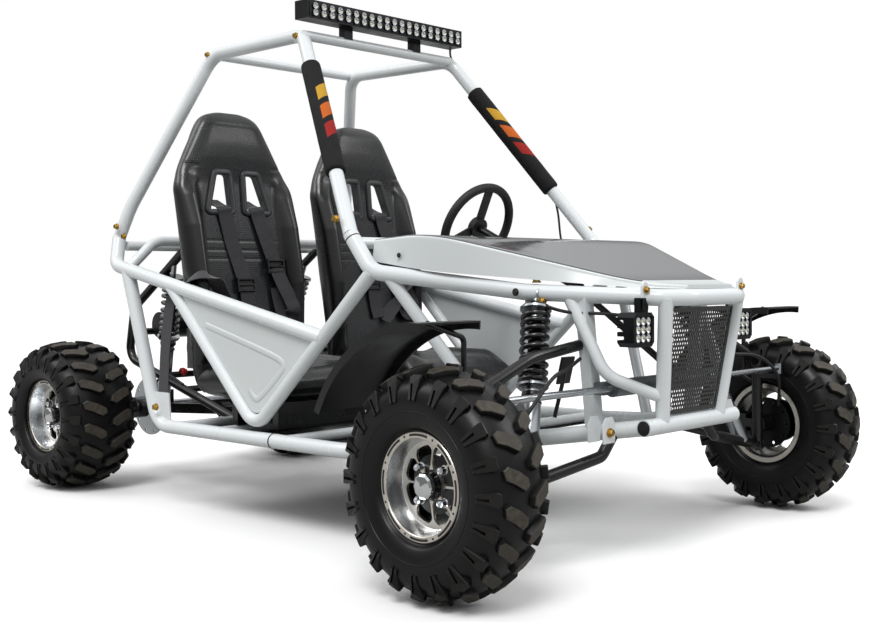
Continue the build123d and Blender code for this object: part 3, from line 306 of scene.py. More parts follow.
def sweep(path, profile, up=(0, 0, 1)):
    # carries a closed profile (side, over) square to a path and caps both ends
    step, side, over = frameAlong(path, up)
    rings = path[:, None] + profile[None, :, :1] * side[:, None] + profile[None, :, 1:] * over[:, None]
    return ringStack(rings)


def axesAbout(axis):
    # a unit vector along the axis, and two more square to it and to each other
    axis = np.asarray(axis, float) / np.linalg.norm(axis)
    first = np.cross(axis, (0.0, 0.0, 1.0) if abs(axis[2]) < 0.9 else (1.0, 0.0, 0.0))
    first /= np.linalg.norm(first)
    return axis, first, np.cross(axis, first)


def turned(profile, centre, axis, count=64):
    # spins a closed profile of (along the axis, radius) pairs about the axis
    axis, first, second = axesAbout(axis)
    angle = np.arange(count) * turn / count
    spoke = np.cos(angle)[:, None] * first + np.sin(angle)[:, None] * second
    profile = np.asarray(profile, float)
    points = np.asarray(centre) + profile[None, :, :1] * axis + profile[None, :, 1:] * spoke[:, None]
    return points.reshape(-1, 3), [gridFaces(count, len(profile), True, True)]


def bolt(places, axis, size, head=0.6, washer=1.15, facets=6):
    # hex heads with washers, one at each place, standing along one axis; size is the width over corners in mm
    axis, first, second = axesAbout(axis)
    r = size / 2 * mm
    parts = []
    for count, steps in ((16, ((0.0, washer * 1.0), (0.16, washer * 1.0))),
                         (facets, ((0.1, 0.96), (head * 0.75, 0.96), (head, 0.8)))):
        flat = circle(count, 1.0)
        disc = flat[:, :1] * first + flat[:, 1:] * second
        rings = np.stack([r * (h * 2 * axis + w * disc) for h, w in steps])
        for place in np.atleast_2d(places):
            parts.append((*ringStack(rings + place), 0))
    return parts


def slab(outline, thickness, origin, across, upward, edge=0.0):
    # a flat plate: an outline in mm on the plane of two unit vectors, with eased edges
    across, upward = np.asarray(across, float), np.asarray(upward, float)
    normal = np.cross(across, upward)
    outline = np.asarray(outline, float)
    middle = outline.mean(0)
    reach = np.linalg.norm(outline - middle, axis=1).mean()
    steps = ((-0.5, edge), (-0.5 + edge / thickness if thickness else -0.5, 0.0),
             (0.5 - edge / thickness if thickness else 0.5, 0.0), (0.5, edge))
    rings = []
    for level, inset in steps:
        flat = middle + (outline - middle) * (1 - inset / reach)
        rings.append(flat[:, :1] * across + flat[:, 1:] * upward + level * thickness * normal)
    return ringStack(np.asarray(origin) + np.stack(rings) * mm)


def smoothStep(value, low, high):
    # eases from 0 at low to 1 at high
    share = np.clip((value - low) / (high - low), 0.0, 1.0)
    return share * share * (3 - 2 * share)


def band(value, low, full, fade, high):
    # eases in from low to full and out again from fade to high
    return smoothStep(value, low, full) * (1 - smoothStep(value, fade, high))


def ridge(offset, width):
    # a bell curve: 1 on the line, next to nothing two widths away
    return np.exp(-(offset / width) ** 2)


def follow(value, table):
    # reads a value off a table of (place, size) pairs, straight between them
    return np.interp(value, *np.array(table, float).T)


def spline(points, count):
    # an even run of points on a smooth curve (uniform Catmull-Rom) through a few given ones
    points = np.asarray(points, float)
    padded = np.vstack([2 * points[0] - points[1], points, 2 * points[-1] - points[-2]])
    place = np.linspace(0, len(points) - 1, count)
    k = np.minimum(place.astype(int), len(points) - 2)
    t = (place - k)[:, None]
    p0, p1, p2, p3 = padded[k], padded[k + 1], padded[k + 2], padded[k + 3]
    square, cube = 2 * p0 - 5 * p1 + 4 * p2 - p3, 3 * p1 - 3 * p2 + p3 - p0
    return 0.5 * (2 * p1 + (p2 - p0) * t + square * t ** 2 + cube * t ** 3)


def loopSweep(path, profile, normal):
    # carries a closed profile (side, over) round a closed flat path
    normal = np.asarray(normal, float)
    step = np.roll(path, -1, 0) - np.roll(path, 1, 0)
    step /= np.linalg.norm(step, axis=1, keepdims=True)
    side = np.cross(step, normal)
    points = path[:, None] + profile[None, :, :1] * side[:, None] + profile[None, :, 1:] * normal
    return points.reshape(-1, 3), [gridFaces(len(path), len(profile), True, True)]


def roundedLoop(corners, radius, steps=5):
    # a flat polygon with each corner replaced by a short curve (quadratic from side to side)
    corners = np.asarray(corners, float)
    before, after = np.roll(corners, 1, 0), np.roll(corners, -1, 0)
    start = corners + (before - corners) / np.linalg.norm(before - corners, axis=1, keepdims=True) * radius
    end = corners + (after - corners) / np.linalg.norm(after - corners, axis=1, keepdims=True) * radius
    t = np.linspace(0, 1, steps)[None, :, None]
    curve = start[:, None] * (1 - t) ** 2 + corners[:, None] * 2 * t * (1 - t) + end[:, None] * t ** 2
    return curve.reshape(-1, corners.shape[1])


def oval(count, across, over, power=2.0):
    # a closed rounded outline: each axis is the signed power of a cosine or a sine
    angle = np.arange(count) * turn / count
    c, s = np.cos(angle), np.sin(angle)
    return np.stack([across * np.sign(c) * np.abs(c) ** (2 / power),
                     over * np.sign(s) * np.abs(s) ** (2 / power)], -1)


def nodeCentre(node):
    # the middle and the size of a node's box
    low, high = (np.array(corner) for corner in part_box(node))
    return (low + high) / 2, high - low


def makePiece(name, parts, finish, body, replaced=(), smooth=38, uv=None, marks=None):
    # joins parts (points, blocks of faces, material index) into one mesh that rides on a body
    points, loops, starts, kinds, offset, filled = [], [], [], [], 0, 0
    for part in parts:
        corners, blocks = part[0].reshape(-1, 3), part[1]
        points.append(corners)
        for k, block in enumerate(blocks):
            loops.append(block.ravel() + offset)
            starts.append(filled + np.arange(len(block)) * block.shape[1])
            kinds.append(np.broadcast_to(part[2][k] if isinstance(part[2], list) else part[2], len(block)))
            filled += block.size
        offset += len(corners)
    mesh = bpy.data.meshes.new(name)
    mesh.vertices.add(offset)
    mesh.vertices.foreach_set("co", np.concatenate(points).ravel())
    loops = np.concatenate(loops)
    mesh.loops.add(len(loops))
    mesh.loops.foreach_set("vertex_index", loops.astype(np.int32))
    starts = np.concatenate(starts)
    mesh.polygons.add(len(starts))
    mesh.polygons.foreach_set("loop_start", starts.astype(np.int32))
    mesh.polygons.foreach_set("material_index", np.concatenate(kinds).astype(np.int32))
    if uv is not None:
        layer = mesh.uv_layers.new(name="seatMap")
        layer.data.foreach_set("uv", np.asarray(uv, float)[loops].ravel())
    for key, values in (marks or {}).items():
        mesh.attributes.new(key, "FLOAT", "POINT").data.foreach_set("value", np.asarray(values, np.float32))
    mesh.update(calc_edges=True)
    mesh.validate()
    shell = bmesh.new()
    shell.from_mesh(mesh)
    bmesh.ops.recalc_face_normals(shell, faces=shell.faces)
    shell.to_mesh(mesh)
    shell.free()
    mesh.shade_smooth()
    mesh.set_sharp_from_angle(angle=math.radians(smooth))
    for material in ([finish] if isinstance(finish, str) else finish):
        mesh.materials.append(finishes[material])
    piece = bpy.data.objects.new(name, mesh)
    bpy.context.scene.collection.objects.link(piece)
    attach(piece, body)
    if replaced:
        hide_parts(*replaced)
    return piece


# CAD nodes that keep their solid and take a finish
keptFinishes = { "powderCoatWhite": ["lower_rails", "side_rails", "door_vees", "front_hoop", "bumper_lower_bar",
                                     "grille_posts", "bumper_braces", "front_uprights", "leg_braces",
                                     "dash_bar", "seat_back_bar", "floor_crossmembers", "cage_sides",
                                     "cage_cross_bars", "column_bracket"],
                "powderCoatBlack": ["upper_arms", "lower_arms", "swing_arm", "engine_guard", "engine_mounts",
                                    "pedals", "muffler", "seat_frames", "floor_pan", "knuckle_left",
                                    "knuckle_right", "steering_column", "steering_shaft"],
                "palePaintedSheet": ["door_panels"], "mouldedBlackPlastic": ["fender_left", "fender_right"],
                "gripRubber": ["steering_wheel"],
                "castAluminium": ["engine_block", "engine_cylinder", "rack_housing"],
                "zincSteel": ["front_struts", "rear_struts", "rear_axle", "tie_rods", "drive_chain"],
                "blackAnodised": ["light_bar", "lamp_pods", "hub_front_left", "hub_front_right"], }
for finish, names in keptFinishes.items():
    for name in names:
        if name in nodes:
            nodes[name].data.materials.clear()
            nodes[name].data.materials.append(finishes[finish])

# Knobbly tyre: a round carcass with four rows of blocks. wall: shares of the half width and of the radius;
# levels: lift (share of the lug, or mm below the skin) and spread; fall: share lost over a span in mm;
# rib: thickness in mm, shares of the half width and of the radius; dust: how pale a block's top is
tyreLook = dict(around=20, lug=13.0, sides=144, sideGap=1.5, drawnWidth=170.0, seat=101.6, beadInset=5.5,
                levels=((-4.0, 1.1), (0.86, 1.0), (1.0, 0.9)), fall=(0.72, 74, 114), rib=(1.6, 0.99, 0.66),
                dust=dict(crownBlock=1.0, shoulderBlock=0.12),
                wall=[(0, 1.0), (0.3, 0.99), (0.56, 0.962), (0.79, 0.912), (0.94, 0.84), (1.0, 0.74),
                      (0.985, 0.63), (0.9, 0.535)],
                # block outlines in mm: along the section from the middle, and along the tread
                crownBlock=[(7, 2), (26, -13), (47, -25), (57, -18), (54, 1), (38, 10), (17, 25), (5, 17)],
                shoulderBlock=[(62, -12), (69, -16), (112, -12), (112, -3.5), (82, -3.5), (82, 3.5),
                               (112, 3.5), (112, 12), (69, 16), (62, 12)])


def tyreParts(centre, width, radius, seat, bead):
    # carcass: the section spun about the axle; block: its outline lifted along the section's normal by levels
    look = tyreLook
    half, carcassRadius = width / 2 - look["sideGap"], radius - look["lug"]
    wall = [(half * out, carcassRadius * up) for out, up in look["wall"]]
    section = spline(wall + [(bead * 1.04, seat + 12), (bead, seat)], 64)
    outline = np.vstack([section[::-1] * (-1, 1), section[1:]])
    spun = turned(outline * mm, centre, (0, 1, 0), look["sides"])
    parts, marks = [(*spun, 0)], [np.zeros(len(spun[0]))]
    travel = np.concatenate([[0], np.cumsum(np.linalg.norm(np.diff(section, axis=0), axis=1))])
    slope = np.gradient(section, axis=0)
    normal = np.stack([-slope[:, 1], slope[:, 0]], -1)
    normal /= np.linalg.norm(normal, axis=1, keepdims=True)
    scale = width / look["drawnWidth"]
    for kind, hand, shift in (("crownBlock", 1, 0.0), ("shoulderBlock", 1, 0.5), ("crownBlock", -1, 0.5),
                              ("shoulderBlock", -1, 0.0)):
        shape = np.array(look[kind], float)
        middle = shape.mean(0)
        levels = []
        for lift, grow in look["levels"]:
            flat = middle + (shape - middle) * grow
            reach = flat[:, 0] * scale
            place = np.stack([np.interp(reach, travel, section[:, k]) for k in (0, 1)], -1)
            out = np.stack([np.interp(reach, travel, normal[:, k]) for k in (0, 1)], -1)
            fall = look["fall"][0] * smoothStep(flat[:, 0], *look["fall"][1:])
            height = lift if lift < 0 else look["lug"] * lift * (1 - fall)
            spot = place + out * np.atleast_1d(height)[:, None]
            levels.append(np.column_stack([hand * spot[:, 0], spot[:, 1], flat[:, 1] / carcassRadius]))
        levels = np.stack(levels)
        station = (np.arange(look["around"]) + shift)[:, None, None]
        theta = station * turn / look["around"] - levels[None, :, :, 2]
        points = np.stack([levels[None, :, :, 1] * np.cos(theta),
                           np.broadcast_to(levels[None, :, :, 0], theta.shape),
                           levels[None, :, :, 1] * np.sin(theta)], -1) * mm + np.asarray(centre)
        rows, corners = levels.shape[:2]
        shifts = np.arange(look["around"])[:, None, None] * rows * corners
        quads = gridFaces(rows, corners, wrapColumns=True)
        caps = np.stack([np.arange(corners)[::-1], (rows - 1) * corners + np.arange(corners)])
        parts.append((points.reshape(-1, 3), [(quads[None] + shifts).reshape(-1, 4),
                                              (caps[None] + shifts).reshape(-1, corners)], 0))
        worn = look["dust"][kind]
        marks.append(np.tile(np.repeat([0.0, 0.1 * worn, worn], corners), look["around"]))
    # a moulded rib on each sidewall
    for hand in (1, -1):
        thick, out, up = look["rib"]
        ring = turned(circle(10, thick * mm) + (hand * half * out * mm, carcassRadius * up * mm), centre,
                      (0, 1, 0), 96)
        parts.append((*ring, 0))
        marks.append(np.zeros(len(ring[0])))
    return parts, marks


# Cast rim in mm: a dished face of spokes; lip slots (outer, inner radius, half angle), holes (radius, ring)
rimLook = dict(dish=41.0, lip=110.0, windows=8, spoke=(82, 31), slot=(106.4, 101.4, 14), hole=(2.6, 103.9),
               nuts=4, nutRing=46.0, nut=[(0, 0.1), (0, 10), (5, 10), (5, 8), (17, 8), (21, 6), (23, 2.0),
                                          (23, 0.1)], cap=26.0, capLength=31.0, valveRing=94,
               valve=[(0, 0.1), (0, 3.5), (16, 3.2), (18, 2.0), (18, 0.1)])


def rimParts(centre, side, width):
    # barrel, lip and dish: one closed profile spun about the axle; spokes: a tapering section along a radius
    look = rimLook
    half = width / 2
    face = half - look["dish"]
    axis = np.array([0.0, side, 0.0])
    first, second = np.array([1.0, 0, 0]), np.array([0, 0, 1.0])
    barrel = [(half, 108.5), (half, 98), (half - 1.2, 96.8), (half - 2.4, 96.4), (face + 9, 92.5),
              (face + 2, 90), (face + 1, 88.5), (face + 0.5, 80), (face - 7, 80), (face - 7, 92),
              (-half + 8, 96.5), (-half, 98), (-half, look["lip"]), (-half + 5.2, look["lip"]),
              (-half + 5.2, 101.3), (half - 5.2, 101.3), (half - 5.2, look["lip"]), (half - 1.5, look["lip"])]
    points, blocks = turned(np.array(barrel) * mm, centre, axis, 120)
    parts = [(points, blocks, [np.where(np.isin(np.arange(len(blocks[0])) % len(barrel), (3, 4, 5)), 3, 0)])]
    # black liner inside the barrel, seen through the windows: black paint on the barrel, and painted shade for
    # the dark inside the wheel
    liner = [(face - 8, 91.5), (face - 8, 88), (-half + 10, 92), (-half + 10, 95.5)]
    hub = [(face - 8, 20), (face - 8, 58), (face - 3, 60), (face + 1, 34), (face + 6, 28),
           (face + look["capLength"] - 8, 26.5), (face + look["capLength"] - 8, 20)]
    for profile in (liner, hub):
        parts.append((*turned(np.array(profile) * mm, centre, axis, 64), 1))
    reach = np.linspace(*look["spoke"], 22)
    wide = 2.6 + 24.0 * np.clip((reach - 62) / 20, 0, 1) ** 3 + 3.5 * smoothStep(-reach, -42, -30)
    section = np.array([(-1, 0.0), (-0.86, 1.0), (0.86, 1.0), (1, 0.0), (0.8, -1.0), (-0.8, -1.0)])
    for k in range(look["windows"]):
        a = turn * k / look["windows"]
        radial = math.cos(a) * first + math.sin(a) * second
        across = np.cross(axis, radial)
        level = face - 2 + 5.0 * smoothStep(-reach, -80, -34)
        rings = (reach[:, None, None] * radial + (section[None, :, :1] * wide[:, None, None]) * across
                 + (level[:, None, None] + section[None, :, 1:] * 3.2) * axis) * mm + np.asarray(centre)
        parts.append((*ringStack(rings), 0))
        # a slot and a round hole in the lip between neighbours, as black inlays just proud of it
        outside, inside, spread = look["slot"]
        angle = a + np.linspace(-spread, spread, 9) * math.pi / 180
        rim = np.concatenate([radius * np.stack([np.cos(run), np.sin(run)], -1)
                              for radius, run in ((outside, angle), (inside, angle[::-1]))])
        between = np.array([math.cos(a + turn / 16), math.sin(a + turn / 16)])
        hole = circle(12, look["hole"][0]) + look["hole"][1] * between
        for flat in (rim, hole):
            disc = flat[:, :1] * first + flat[:, 1:] * second
            rings = np.stack([disc + out * axis for out in (half - 1, half + 0.25)])
            parts.append((*ringStack(rings * mm + np.asarray(centre)), 1))
    capFront = face + look["capLength"]
    cap = circle(10, 1.0)
    rings = np.stack([(cap[:, :1] * first + cap[:, 1:] * second) * r + out * axis for out,
                      r in ((capFront - 9, look["cap"]), (capFront - 1, look["cap"]),
                            (capFront + 2, look["cap"] * 0.82), (capFront + 6.5, 1.0))])
    parts.append((*ringStack(rings * mm + np.asarray(centre)), 2))
    for k in range(look["nuts"]):
        a = turn * (k + 0.25) / look["nuts"] + turn / 16
        radial = math.cos(a) * first + math.sin(a) * second
        spot = np.asarray(centre) + (look["nutRing"] * radial + (face - 3) * axis) * mm
        parts.append((*turned(np.array(look["nut"]) * mm, spot, axis, 20), 2))
    valve = np.asarray(centre) + (look["valveRing"] * first + (face + 6) * axis) * mm
    parts.append((*turned(np.array(look["valve"]) * mm, valve, axis, 12), 1))
    return parts


wheelSets = [(f"tyre_front_{label}", f"rim_front_{label}", f"wheel_front_{label}", [side], 135.0, 170.0)
             for label, side in sides.items()]
wheelSets.append(("rear_tyres", "rear_rims", "rear_axle", [1, -1], 180.0, 226.0))
for tyreNode, rimNode, body, hands, rimWidth, width in wheelSets:
    middle, size = nodeCentre(tyreNode)
    parts, marks, rims = [], [], []
    for side in hands:
        out = middle[1] if len(hands) == 1 else side * (size[1] / 2 - width / 2 * mm)
        centre = np.array([middle[0], out, middle[2]])
        made = tyreParts(centre, width, size[2] / 2 / mm, tyreLook["seat"],
                         rimWidth / 2 - tyreLook["beadInset"])
        parts += made[0]
        marks += made[1]
        rims += rimParts(centre, side, rimWidth)
    makePiece(f"tyre.{body}", parts, "tyreRubber", body, [tyreNode], 32,
              marks={"lugTop": np.concatenate(marks)})
    makePiece(f"rim.{body}", rims, ["machinedAlloy", "windowBlack", "chromePlate", "polishedBarrel"], body,
              [rimNode], 14)
print("stage: wheels")

# Bucket seat back in its own leaned frame: out from the middle, height along the back, ahead of its face, in mm
seatLook = dict(foot=(-258.2, 334.0), lean=8.0, spacing=242.0, thick=72.0,
                halfWidth=[(0, 150), (14, 170), (60, 180), (330, 194), (585, 196), (640, 176), (700, 146),
                           (770, 110), (795, 92), (808, 66), (812, 40)], cut=(-140, 120),
                bolster=[(80, 0), (120, 22), (160, 42), (300, 62), (470, 50), (560, 28), (625, 4), (650, 0)],
                seam=128.0, stitches=(431.0, 404.0, 378.0),
                window=[(19, 514), (108, 514), (74, 632), (23, 632)],
                behind=[(0, 72), (360, 72), (480, 34), (640, 34), (720, 52), (812, 52)])


def seatFrame(side):
    # the leaned frame of one seat back: origin, ahead, out, up
    lean = math.radians(seatLook["lean"])
    origin = np.array([seatLook["foot"][0], side * seatLook["spacing"], seatLook["foot"][1]])
    ahead, rise = np.array([math.cos(lean), 0, math.sin(lean)]), np.array([-math.sin(lean), 0, math.cos(lean)])
    return origin, ahead, np.array([0, 1.0, 0]), rise


def seatPoint(side, ahead, out, up):
    # places in the leaned frame of one seat, as points in metres
    origin, forward, across, rise = seatFrame(side)
    ahead, out, up = np.broadcast_arrays(np.asarray(ahead, float), np.asarray(out, float),
                                         np.asarray(up, float))
    return (origin + ahead[..., None] * forward + out[..., None] * across + up[..., None] * rise) * mm


def seatFace(out, up):
    # front of the back: a shallow scoop, bolsters outside the seam, a fuller headrest, stitched grooves
    look = seatLook
    away = np.abs(out)
    bolster = follow(up, look["bolster"]) * smoothStep(away, look["seam"] - 6, look["seam"] + 38)
    scoop = -7.0 * (1 - (away / 200.0) ** 2) * band(up, 60, 300, 600, 680)
    head = 9.0 * smoothStep(up, 590, 730) * (1 - smoothStep(up, 760, 812) * 0.5) * (1 - (away / 220.0) ** 2)
    seam = -3.2 * ridge(away - look["seam"], 3.2) * band(up, 90, 130, 590, 625)
    crease = -3.0 * ridge(up - 636 - 0.1 * away, 4.0) * smoothStep(away, 118, 136)
    lines = sum(-1.1 * ridge(up - level, 2.2) for level in look["stitches"]) * (1 - smoothStep(away, 122, 126))
    folds = 1.6 * np.sin(up * 0.09 + away * 0.16) * ridge(up - 600, 34.0) * smoothStep(away, 120, 160)
    return bolster + scoop + head + seam + crease + lines + folds


def seatBackMesh(side):
    # rings up the back: the front face and the rounded shell behind it, both eased to one edge line
    look = seatLook
    up = np.concatenate([np.linspace(0, 60, 14)[:-1], np.linspace(60, 770, 210)[:-1],
                         812 - 42 * (1 - np.linspace(0, 1, 24)) ** 1.7])
    half = follow(up, look["halfWidth"])
    half = np.convolve(np.pad(half, 4, mode="edge"), np.ones(9) / 9, "valid")
    front = np.sin(np.linspace(-1, 1, 61) * math.pi / 2)
    rear = front[1:-1][::-1]
    share = np.concatenate([front, rear])
    out = half[:, None] * share[None]
    level = np.broadcast_to(up[:, None], out.shape)
    ease = np.sqrt(np.clip(1 - np.abs(share) ** 7, 0, 1))[None]
    full = np.sqrt(np.clip(1 - smoothStep(up, 762, 824) ** 2, 0, 1))[:, None] * smoothStep(up, -30, 26)[:, None]
    edge = -26.0 + 0.45 * follow(up, look["bolster"])[:, None]
    faceAhead = seatFace(out, level)
    rim = np.maximum(smoothStep(np.abs(out), 112, 150), smoothStep(level, 690, 760))
    behind = follow(up, look["behind"])[:, None]
    depth = behind * (1 - rim) + (look["thick"] - 14 * smoothStep(level, 640, 812)) * rim
    shell = -depth + 6 * np.cos(out / 190.0 * 1.2)
    facing = (np.arange(out.shape[1]) < len(front))[None]
    ahead = edge + (np.where(facing, faceAhead, shell) - edge) * ease * full
    points = seatPoint(side, ahead, out, level)
    # panel: the embossed middle and headrest, where the vinyl also paints a lighter grey as painted sheen
    inside = 1 - smoothStep(np.abs(out), look["seam"] - 6, look["seam"] - 1)
    panel = np.maximum(inside, smoothStep(level, 640, 660)) * facing
    uv = np.stack([out, level], -1)
    return points, panel, uv


def cutWindows(piece, side):
    # takes the two harness windows out of a back with prisms, and leaves plain mesh behind
    prisms = []
    for hand in (1, -1):
        loop = roundedLoop(np.array(seatLook["window"], float) * (hand, 1), 10)
        rings = np.stack([seatPoint(side, ahead, *loop.T) for ahead in seatLook["cut"]])
        prisms.append((*ringStack(rings), 0))
    cutter = makePiece("windowCutter", prisms, "mouldedBlackPlastic", "chassis")
    modifier = piece.modifiers.new("windows", "BOOLEAN")
    modifier.operation = "DIFFERENCE"
    modifier.solver = "EXACT"
    modifier.object = cutter
    graph = bpy.context.evaluated_depsgraph_get()
    mesh = bpy.data.meshes.new_from_object(piece.evaluated_get(graph))
    piece.modifiers.clear()
    piece.data = mesh
    bpy.data.objects.remove(cutter)


backParts, backPanel, backUv = [], [], []
for side in (1, -1):
    points, panel, uv = seatBackMesh(side)
    backParts.append((*ringStack(points), 0))
    backPanel.append(panel.ravel())
    backUv.append(uv.reshape(-1, 2))
seatBacks = makePiece("seatBacks", backParts, "seatVinyl", "chassis", ["seat_backs"], 60,
                      uv=np.concatenate(backUv), marks={"panel": np.concatenate(backPanel)})
for side in (1, -1):
    cutWindows(seatBacks, side)
print("stage: seat backs")

cushionLook = dict(x=(-262.0, 118.0), half=198.0, bottom=322.0, top=418.0, bolster=20.0, seam=128.0, pleats=6)


def cushionMesh(side):
    # rings from the back edge to the front: a rounded box, its top with bolsters, lower at the knee
    look = cushionLook
    x = np.linspace(*look["x"], 96)
    run = (x - look["x"][0]) / (look["x"][1] - look["x"][0])
    share = np.sin(np.linspace(-1, 1, 49) * math.pi / 2)
    out = look["half"] * share
    ease = np.sqrt(np.clip(1 - np.abs(share) ** 8, 0, 1))
    knee, heel = np.clip((run - 0.84) / 0.16, 0, 1), np.clip((0.07 - run) / 0.07, 0, 1)
    end = np.sqrt(np.clip(1 - knee ** 2, 0, 1)) * np.sqrt(np.clip(1 - heel ** 2, 0, 1))
    middle = (look["bottom"] + look["top"]) / 2 - 6
    outside = smoothStep(np.abs(out), look["seam"] - 4, look["seam"] + 36)
    swell = look["bolster"] * outside[None] * band(x, -225, -180, 40, 100)[:, None]
    seam = -3.0 * ridge(np.abs(out) - look["seam"], 3.0)[None]
    off = np.mod(out + 200, 2 * look["half"] / look["pleats"]) - look["half"] / look["pleats"]
    pleat = -2.6 * ridge(off, 4.0)[None] * smoothStep(x, 60, 90)[:, None]
    dome = 5.0 * (1 - (out / look["half"]) ** 2)[None] * np.sin(run * math.pi)[:, None]
    top = middle + (look["top"] - 6 + swell + seam + pleat + dome - middle) * ease[None] * end[:, None]
    low = middle + (look["bottom"] - middle) * ease[None, 1:-1][:, ::-1] * end[:, None]
    lateral = np.concatenate([out, out[1:-1][::-1]])
    points = np.stack([np.broadcast_to(x[:, None], (len(x), len(lateral))),
                       np.broadcast_to(side * seatLook["spacing"] + lateral[None], (len(x), len(lateral))),
                       np.concatenate([top, low], 1)], -1) * mm
    # panel: the embossed middle of the top, where the vinyl also paints a lighter grey as painted sheen
    panel = np.concatenate([1 - smoothStep(np.abs(out), look["seam"] - 6, look["seam"] - 1),
                            np.zeros(len(out) - 2)])
    uv = np.stack([np.broadcast_to(lateral[None], points.shape[:2]),
                   np.broadcast_to(x[:, None], points.shape[:2])], -1)
    return points, np.broadcast_to(panel[None], points.shape[:2]), uv


cushionParts, cushionPanel, cushionUv = [], [], []
for side in (1, -1):
    points, panel, uv = cushionMesh(side)
    cushionParts.append((*ringStack(points), 0))
    cushionPanel.append(panel.ravel())
    cushionUv.append(uv.reshape(-1, 2))
cushions = makePiece("seatCushions", cushionParts, "seatVinyl", "chassis", ["seat_cushions"], 60,
                     uv=np.concatenate(cushionUv), marks={"panel": np.concatenate(cushionPanel)})
print("stage: cushions")

# Harness: window frames, straps, ladder buckles and loops; places as (out, height, off the face) in mm, and the
# drop strap behind the seat as (x, y, z)
harnessLook = dict(width=47.0, thick=2.4, mapHalf=24, frame=(8.5, 6.5), liner=(2, 18), bar=17, reach=29,
                   post=28, tall=21, straps=[[(-55, 560, -60), (-55, 536, -20), (-54, 524, 9), (-50, 500, 7),
                                              (-34, 420, 4), (-16, 350, 6), (-6, 300, 9)],
                                             [(55, 560, -60), (55, 536, -20), (57, 524, 9), (62, 500, 8),
                                              (78, 440, 10), (92, 390, 12), (100, 356, 14)]],
                   loops=[[(-6, 296, 12), (-3, 262, 10), (0, 225, 8), (4, 190, 10)],
                          [(100, 350, 16), (112, 300, 26), (128, 250, 34), (132, 215, 30), (120, 200, 22),
                           (108, 225, 14), (102, 290, 10)]], buckles=[(-6, 300, 12), (100, 354, 17)],
                   lap=[(-204, 262, -46), (-209, 304, 6), (-197, 322, 52), (-166, 316, 70), (-126, 288, 44),
                        (-76, 236, 15), (-20, 180, 9)],
                   drop=[(-352, 425, 640), (-372, 446, 590), (-386, 455, 470), (-388, 460, 380),
                         (-390, 463, 300)])
strapParts, strapUv, frameParts, buckleParts = [], [], [], []


def addStrap(path, face):
    # a flat strap: a rectangle carried along a path, its flat side towards the given direction, mapped in mm
    look = harnessLook
    strapParts.append((*sweep(path, square * (look["width"] / 2 * mm, look["thick"] / 2 * mm), face), 0))
    along = np.concatenate([[0], np.cumsum(np.linalg.norm(np.diff(path, axis=0), axis=1))]) / mm
    strapUv.append(np.stack(np.broadcast_arrays(square[None, :, 0] * look["mapHalf"], along[:, None]),
                            -1).reshape(-1, 2))


for side in (1, -1):
    look = harnessLook
    origin, forward, across, rise = seatFrame(side)
    for hand in (1, -1):
        loop = roundedLoop(np.array(seatLook["window"], float) * (hand, 1), 12, 6)[::hand]
        path = seatPoint(side, np.maximum(seatFace(loop[:, 0], loop[:, 1]), -6) + 1, loop[:, 0], loop[:, 1])
        section = oval(14, look["frame"][0] * mm, look["frame"][1] * mm, 3.2)
        frameParts.append((*loopSweep(path, section, forward), 0))
        liner = seatPoint(side, -15.0, loop[:, 0], loop[:, 1])
        frameParts.append((*loopSweep(liner, square * look["liner"] * mm, forward), 0))
    for points in look["straps"] + look["loops"]:
        run = spline(points, 60)
        lift = seatFace(run[:, 0], run[:, 1]) * (run[:, 2] > 0)
        addStrap(seatPoint(side, run[:, 2] + lift, run[:, 0], run[:, 1]), forward)
    for out, up, off in look["buckles"]:
        spot = seatPoint(side, off + seatFace(np.array(out), np.array(up)), out, up)
        bars = [(level * rise, look["reach"] * across, 3.4, 4.6) for level in (-look["bar"], 0, look["bar"])]
        bars += [(end * across, look["tall"] * rise, 3.2, 4.8) for end in (-look["post"], look["post"])]
        for offset, half, wide, deep in bars:
            path = spot + np.stack([offset - half, offset + half]) * mm
            buckleParts.append((*sweep(path, oval(10, wide * mm, deep * mm, 3), forward), 0))
    lap = spline(look["lap"], 70)
    addStrap(seatPoint(side, lap[:, 2], -side * lap[:, 0], lap[:, 1]),
             rise + 0.4 * forward + 0.5 * side * across)
    addStrap(spline(np.array(look["drop"]) * (1, side, 1), 40) * mm, (0, side, 0.05))
makePiece("harnessStraps", strapParts, "wovenWebbing", "chassis", ["harness_straps"], 40,
          uv=np.concatenate(strapUv))
makePiece("harnessFrames", frameParts, "bezelPlastic", "chassis", (), 40)
makePiece("harnessBuckles", buckleParts, "mouldedBlackPlastic", "chassis", (), 40)
print("stage: harness")

# Pillar pads: soft sleeves on the screen pillars, drawn in at both ends
padLook = dict(top=(16.0, 279.0, 1310.0), foot=(425.0, 464.0, 756.0), shares=(0.17, 0.72), radius=26.6,
               tube=19.5)
padParts, padUv = [], []
for side in (1, -1):
    ends = np.array([padLook["top"], padLook["foot"]]) * (1, side, 1)
    path = ends[0] + np.linspace(*padLook["shares"], 90)[:, None] * (ends[1] - ends[0])
    step, across, over = frameAlong(path, (1, 0, 0))
    angle = np.arange(48) * turn / 48
    run = np.linspace(0, 1, 90)[:, None]
    # radius: a sleeve with a lap seam, slow puckers, and ends that close on the tube
    pucker = 0.5 * np.sin(run * 40 + 2 * np.cos(angle)) * np.cos(angle * 2)
    lapSeam = 1.6 * ridge(angle - 3.6, 0.07)
    closing = np.sqrt(np.clip(1 - np.abs(run * 2 - 1) ** 60, 0, 1))
    radius = padLook["tube"] + (padLook["radius"] - 0.7 + pucker - lapSeam - padLook["tube"]) * closing
    spoke = np.cos(angle)[None, :, None] * over[:, None] + np.sin(angle)[None, :, None] * across[:, None]
    rings = (path[:, None] + radius[..., None] * spoke) * mm
    padParts.append((*ringStack(rings), 0))
    around = np.where(angle > math.pi, angle - turn, angle) * padLook["radius"]
    length = np.linalg.norm(path[-1] - path[0])
    padUv.append(np.stack(np.broadcast_arrays(side * around[None], run * length), -1).reshape(-1, 2))
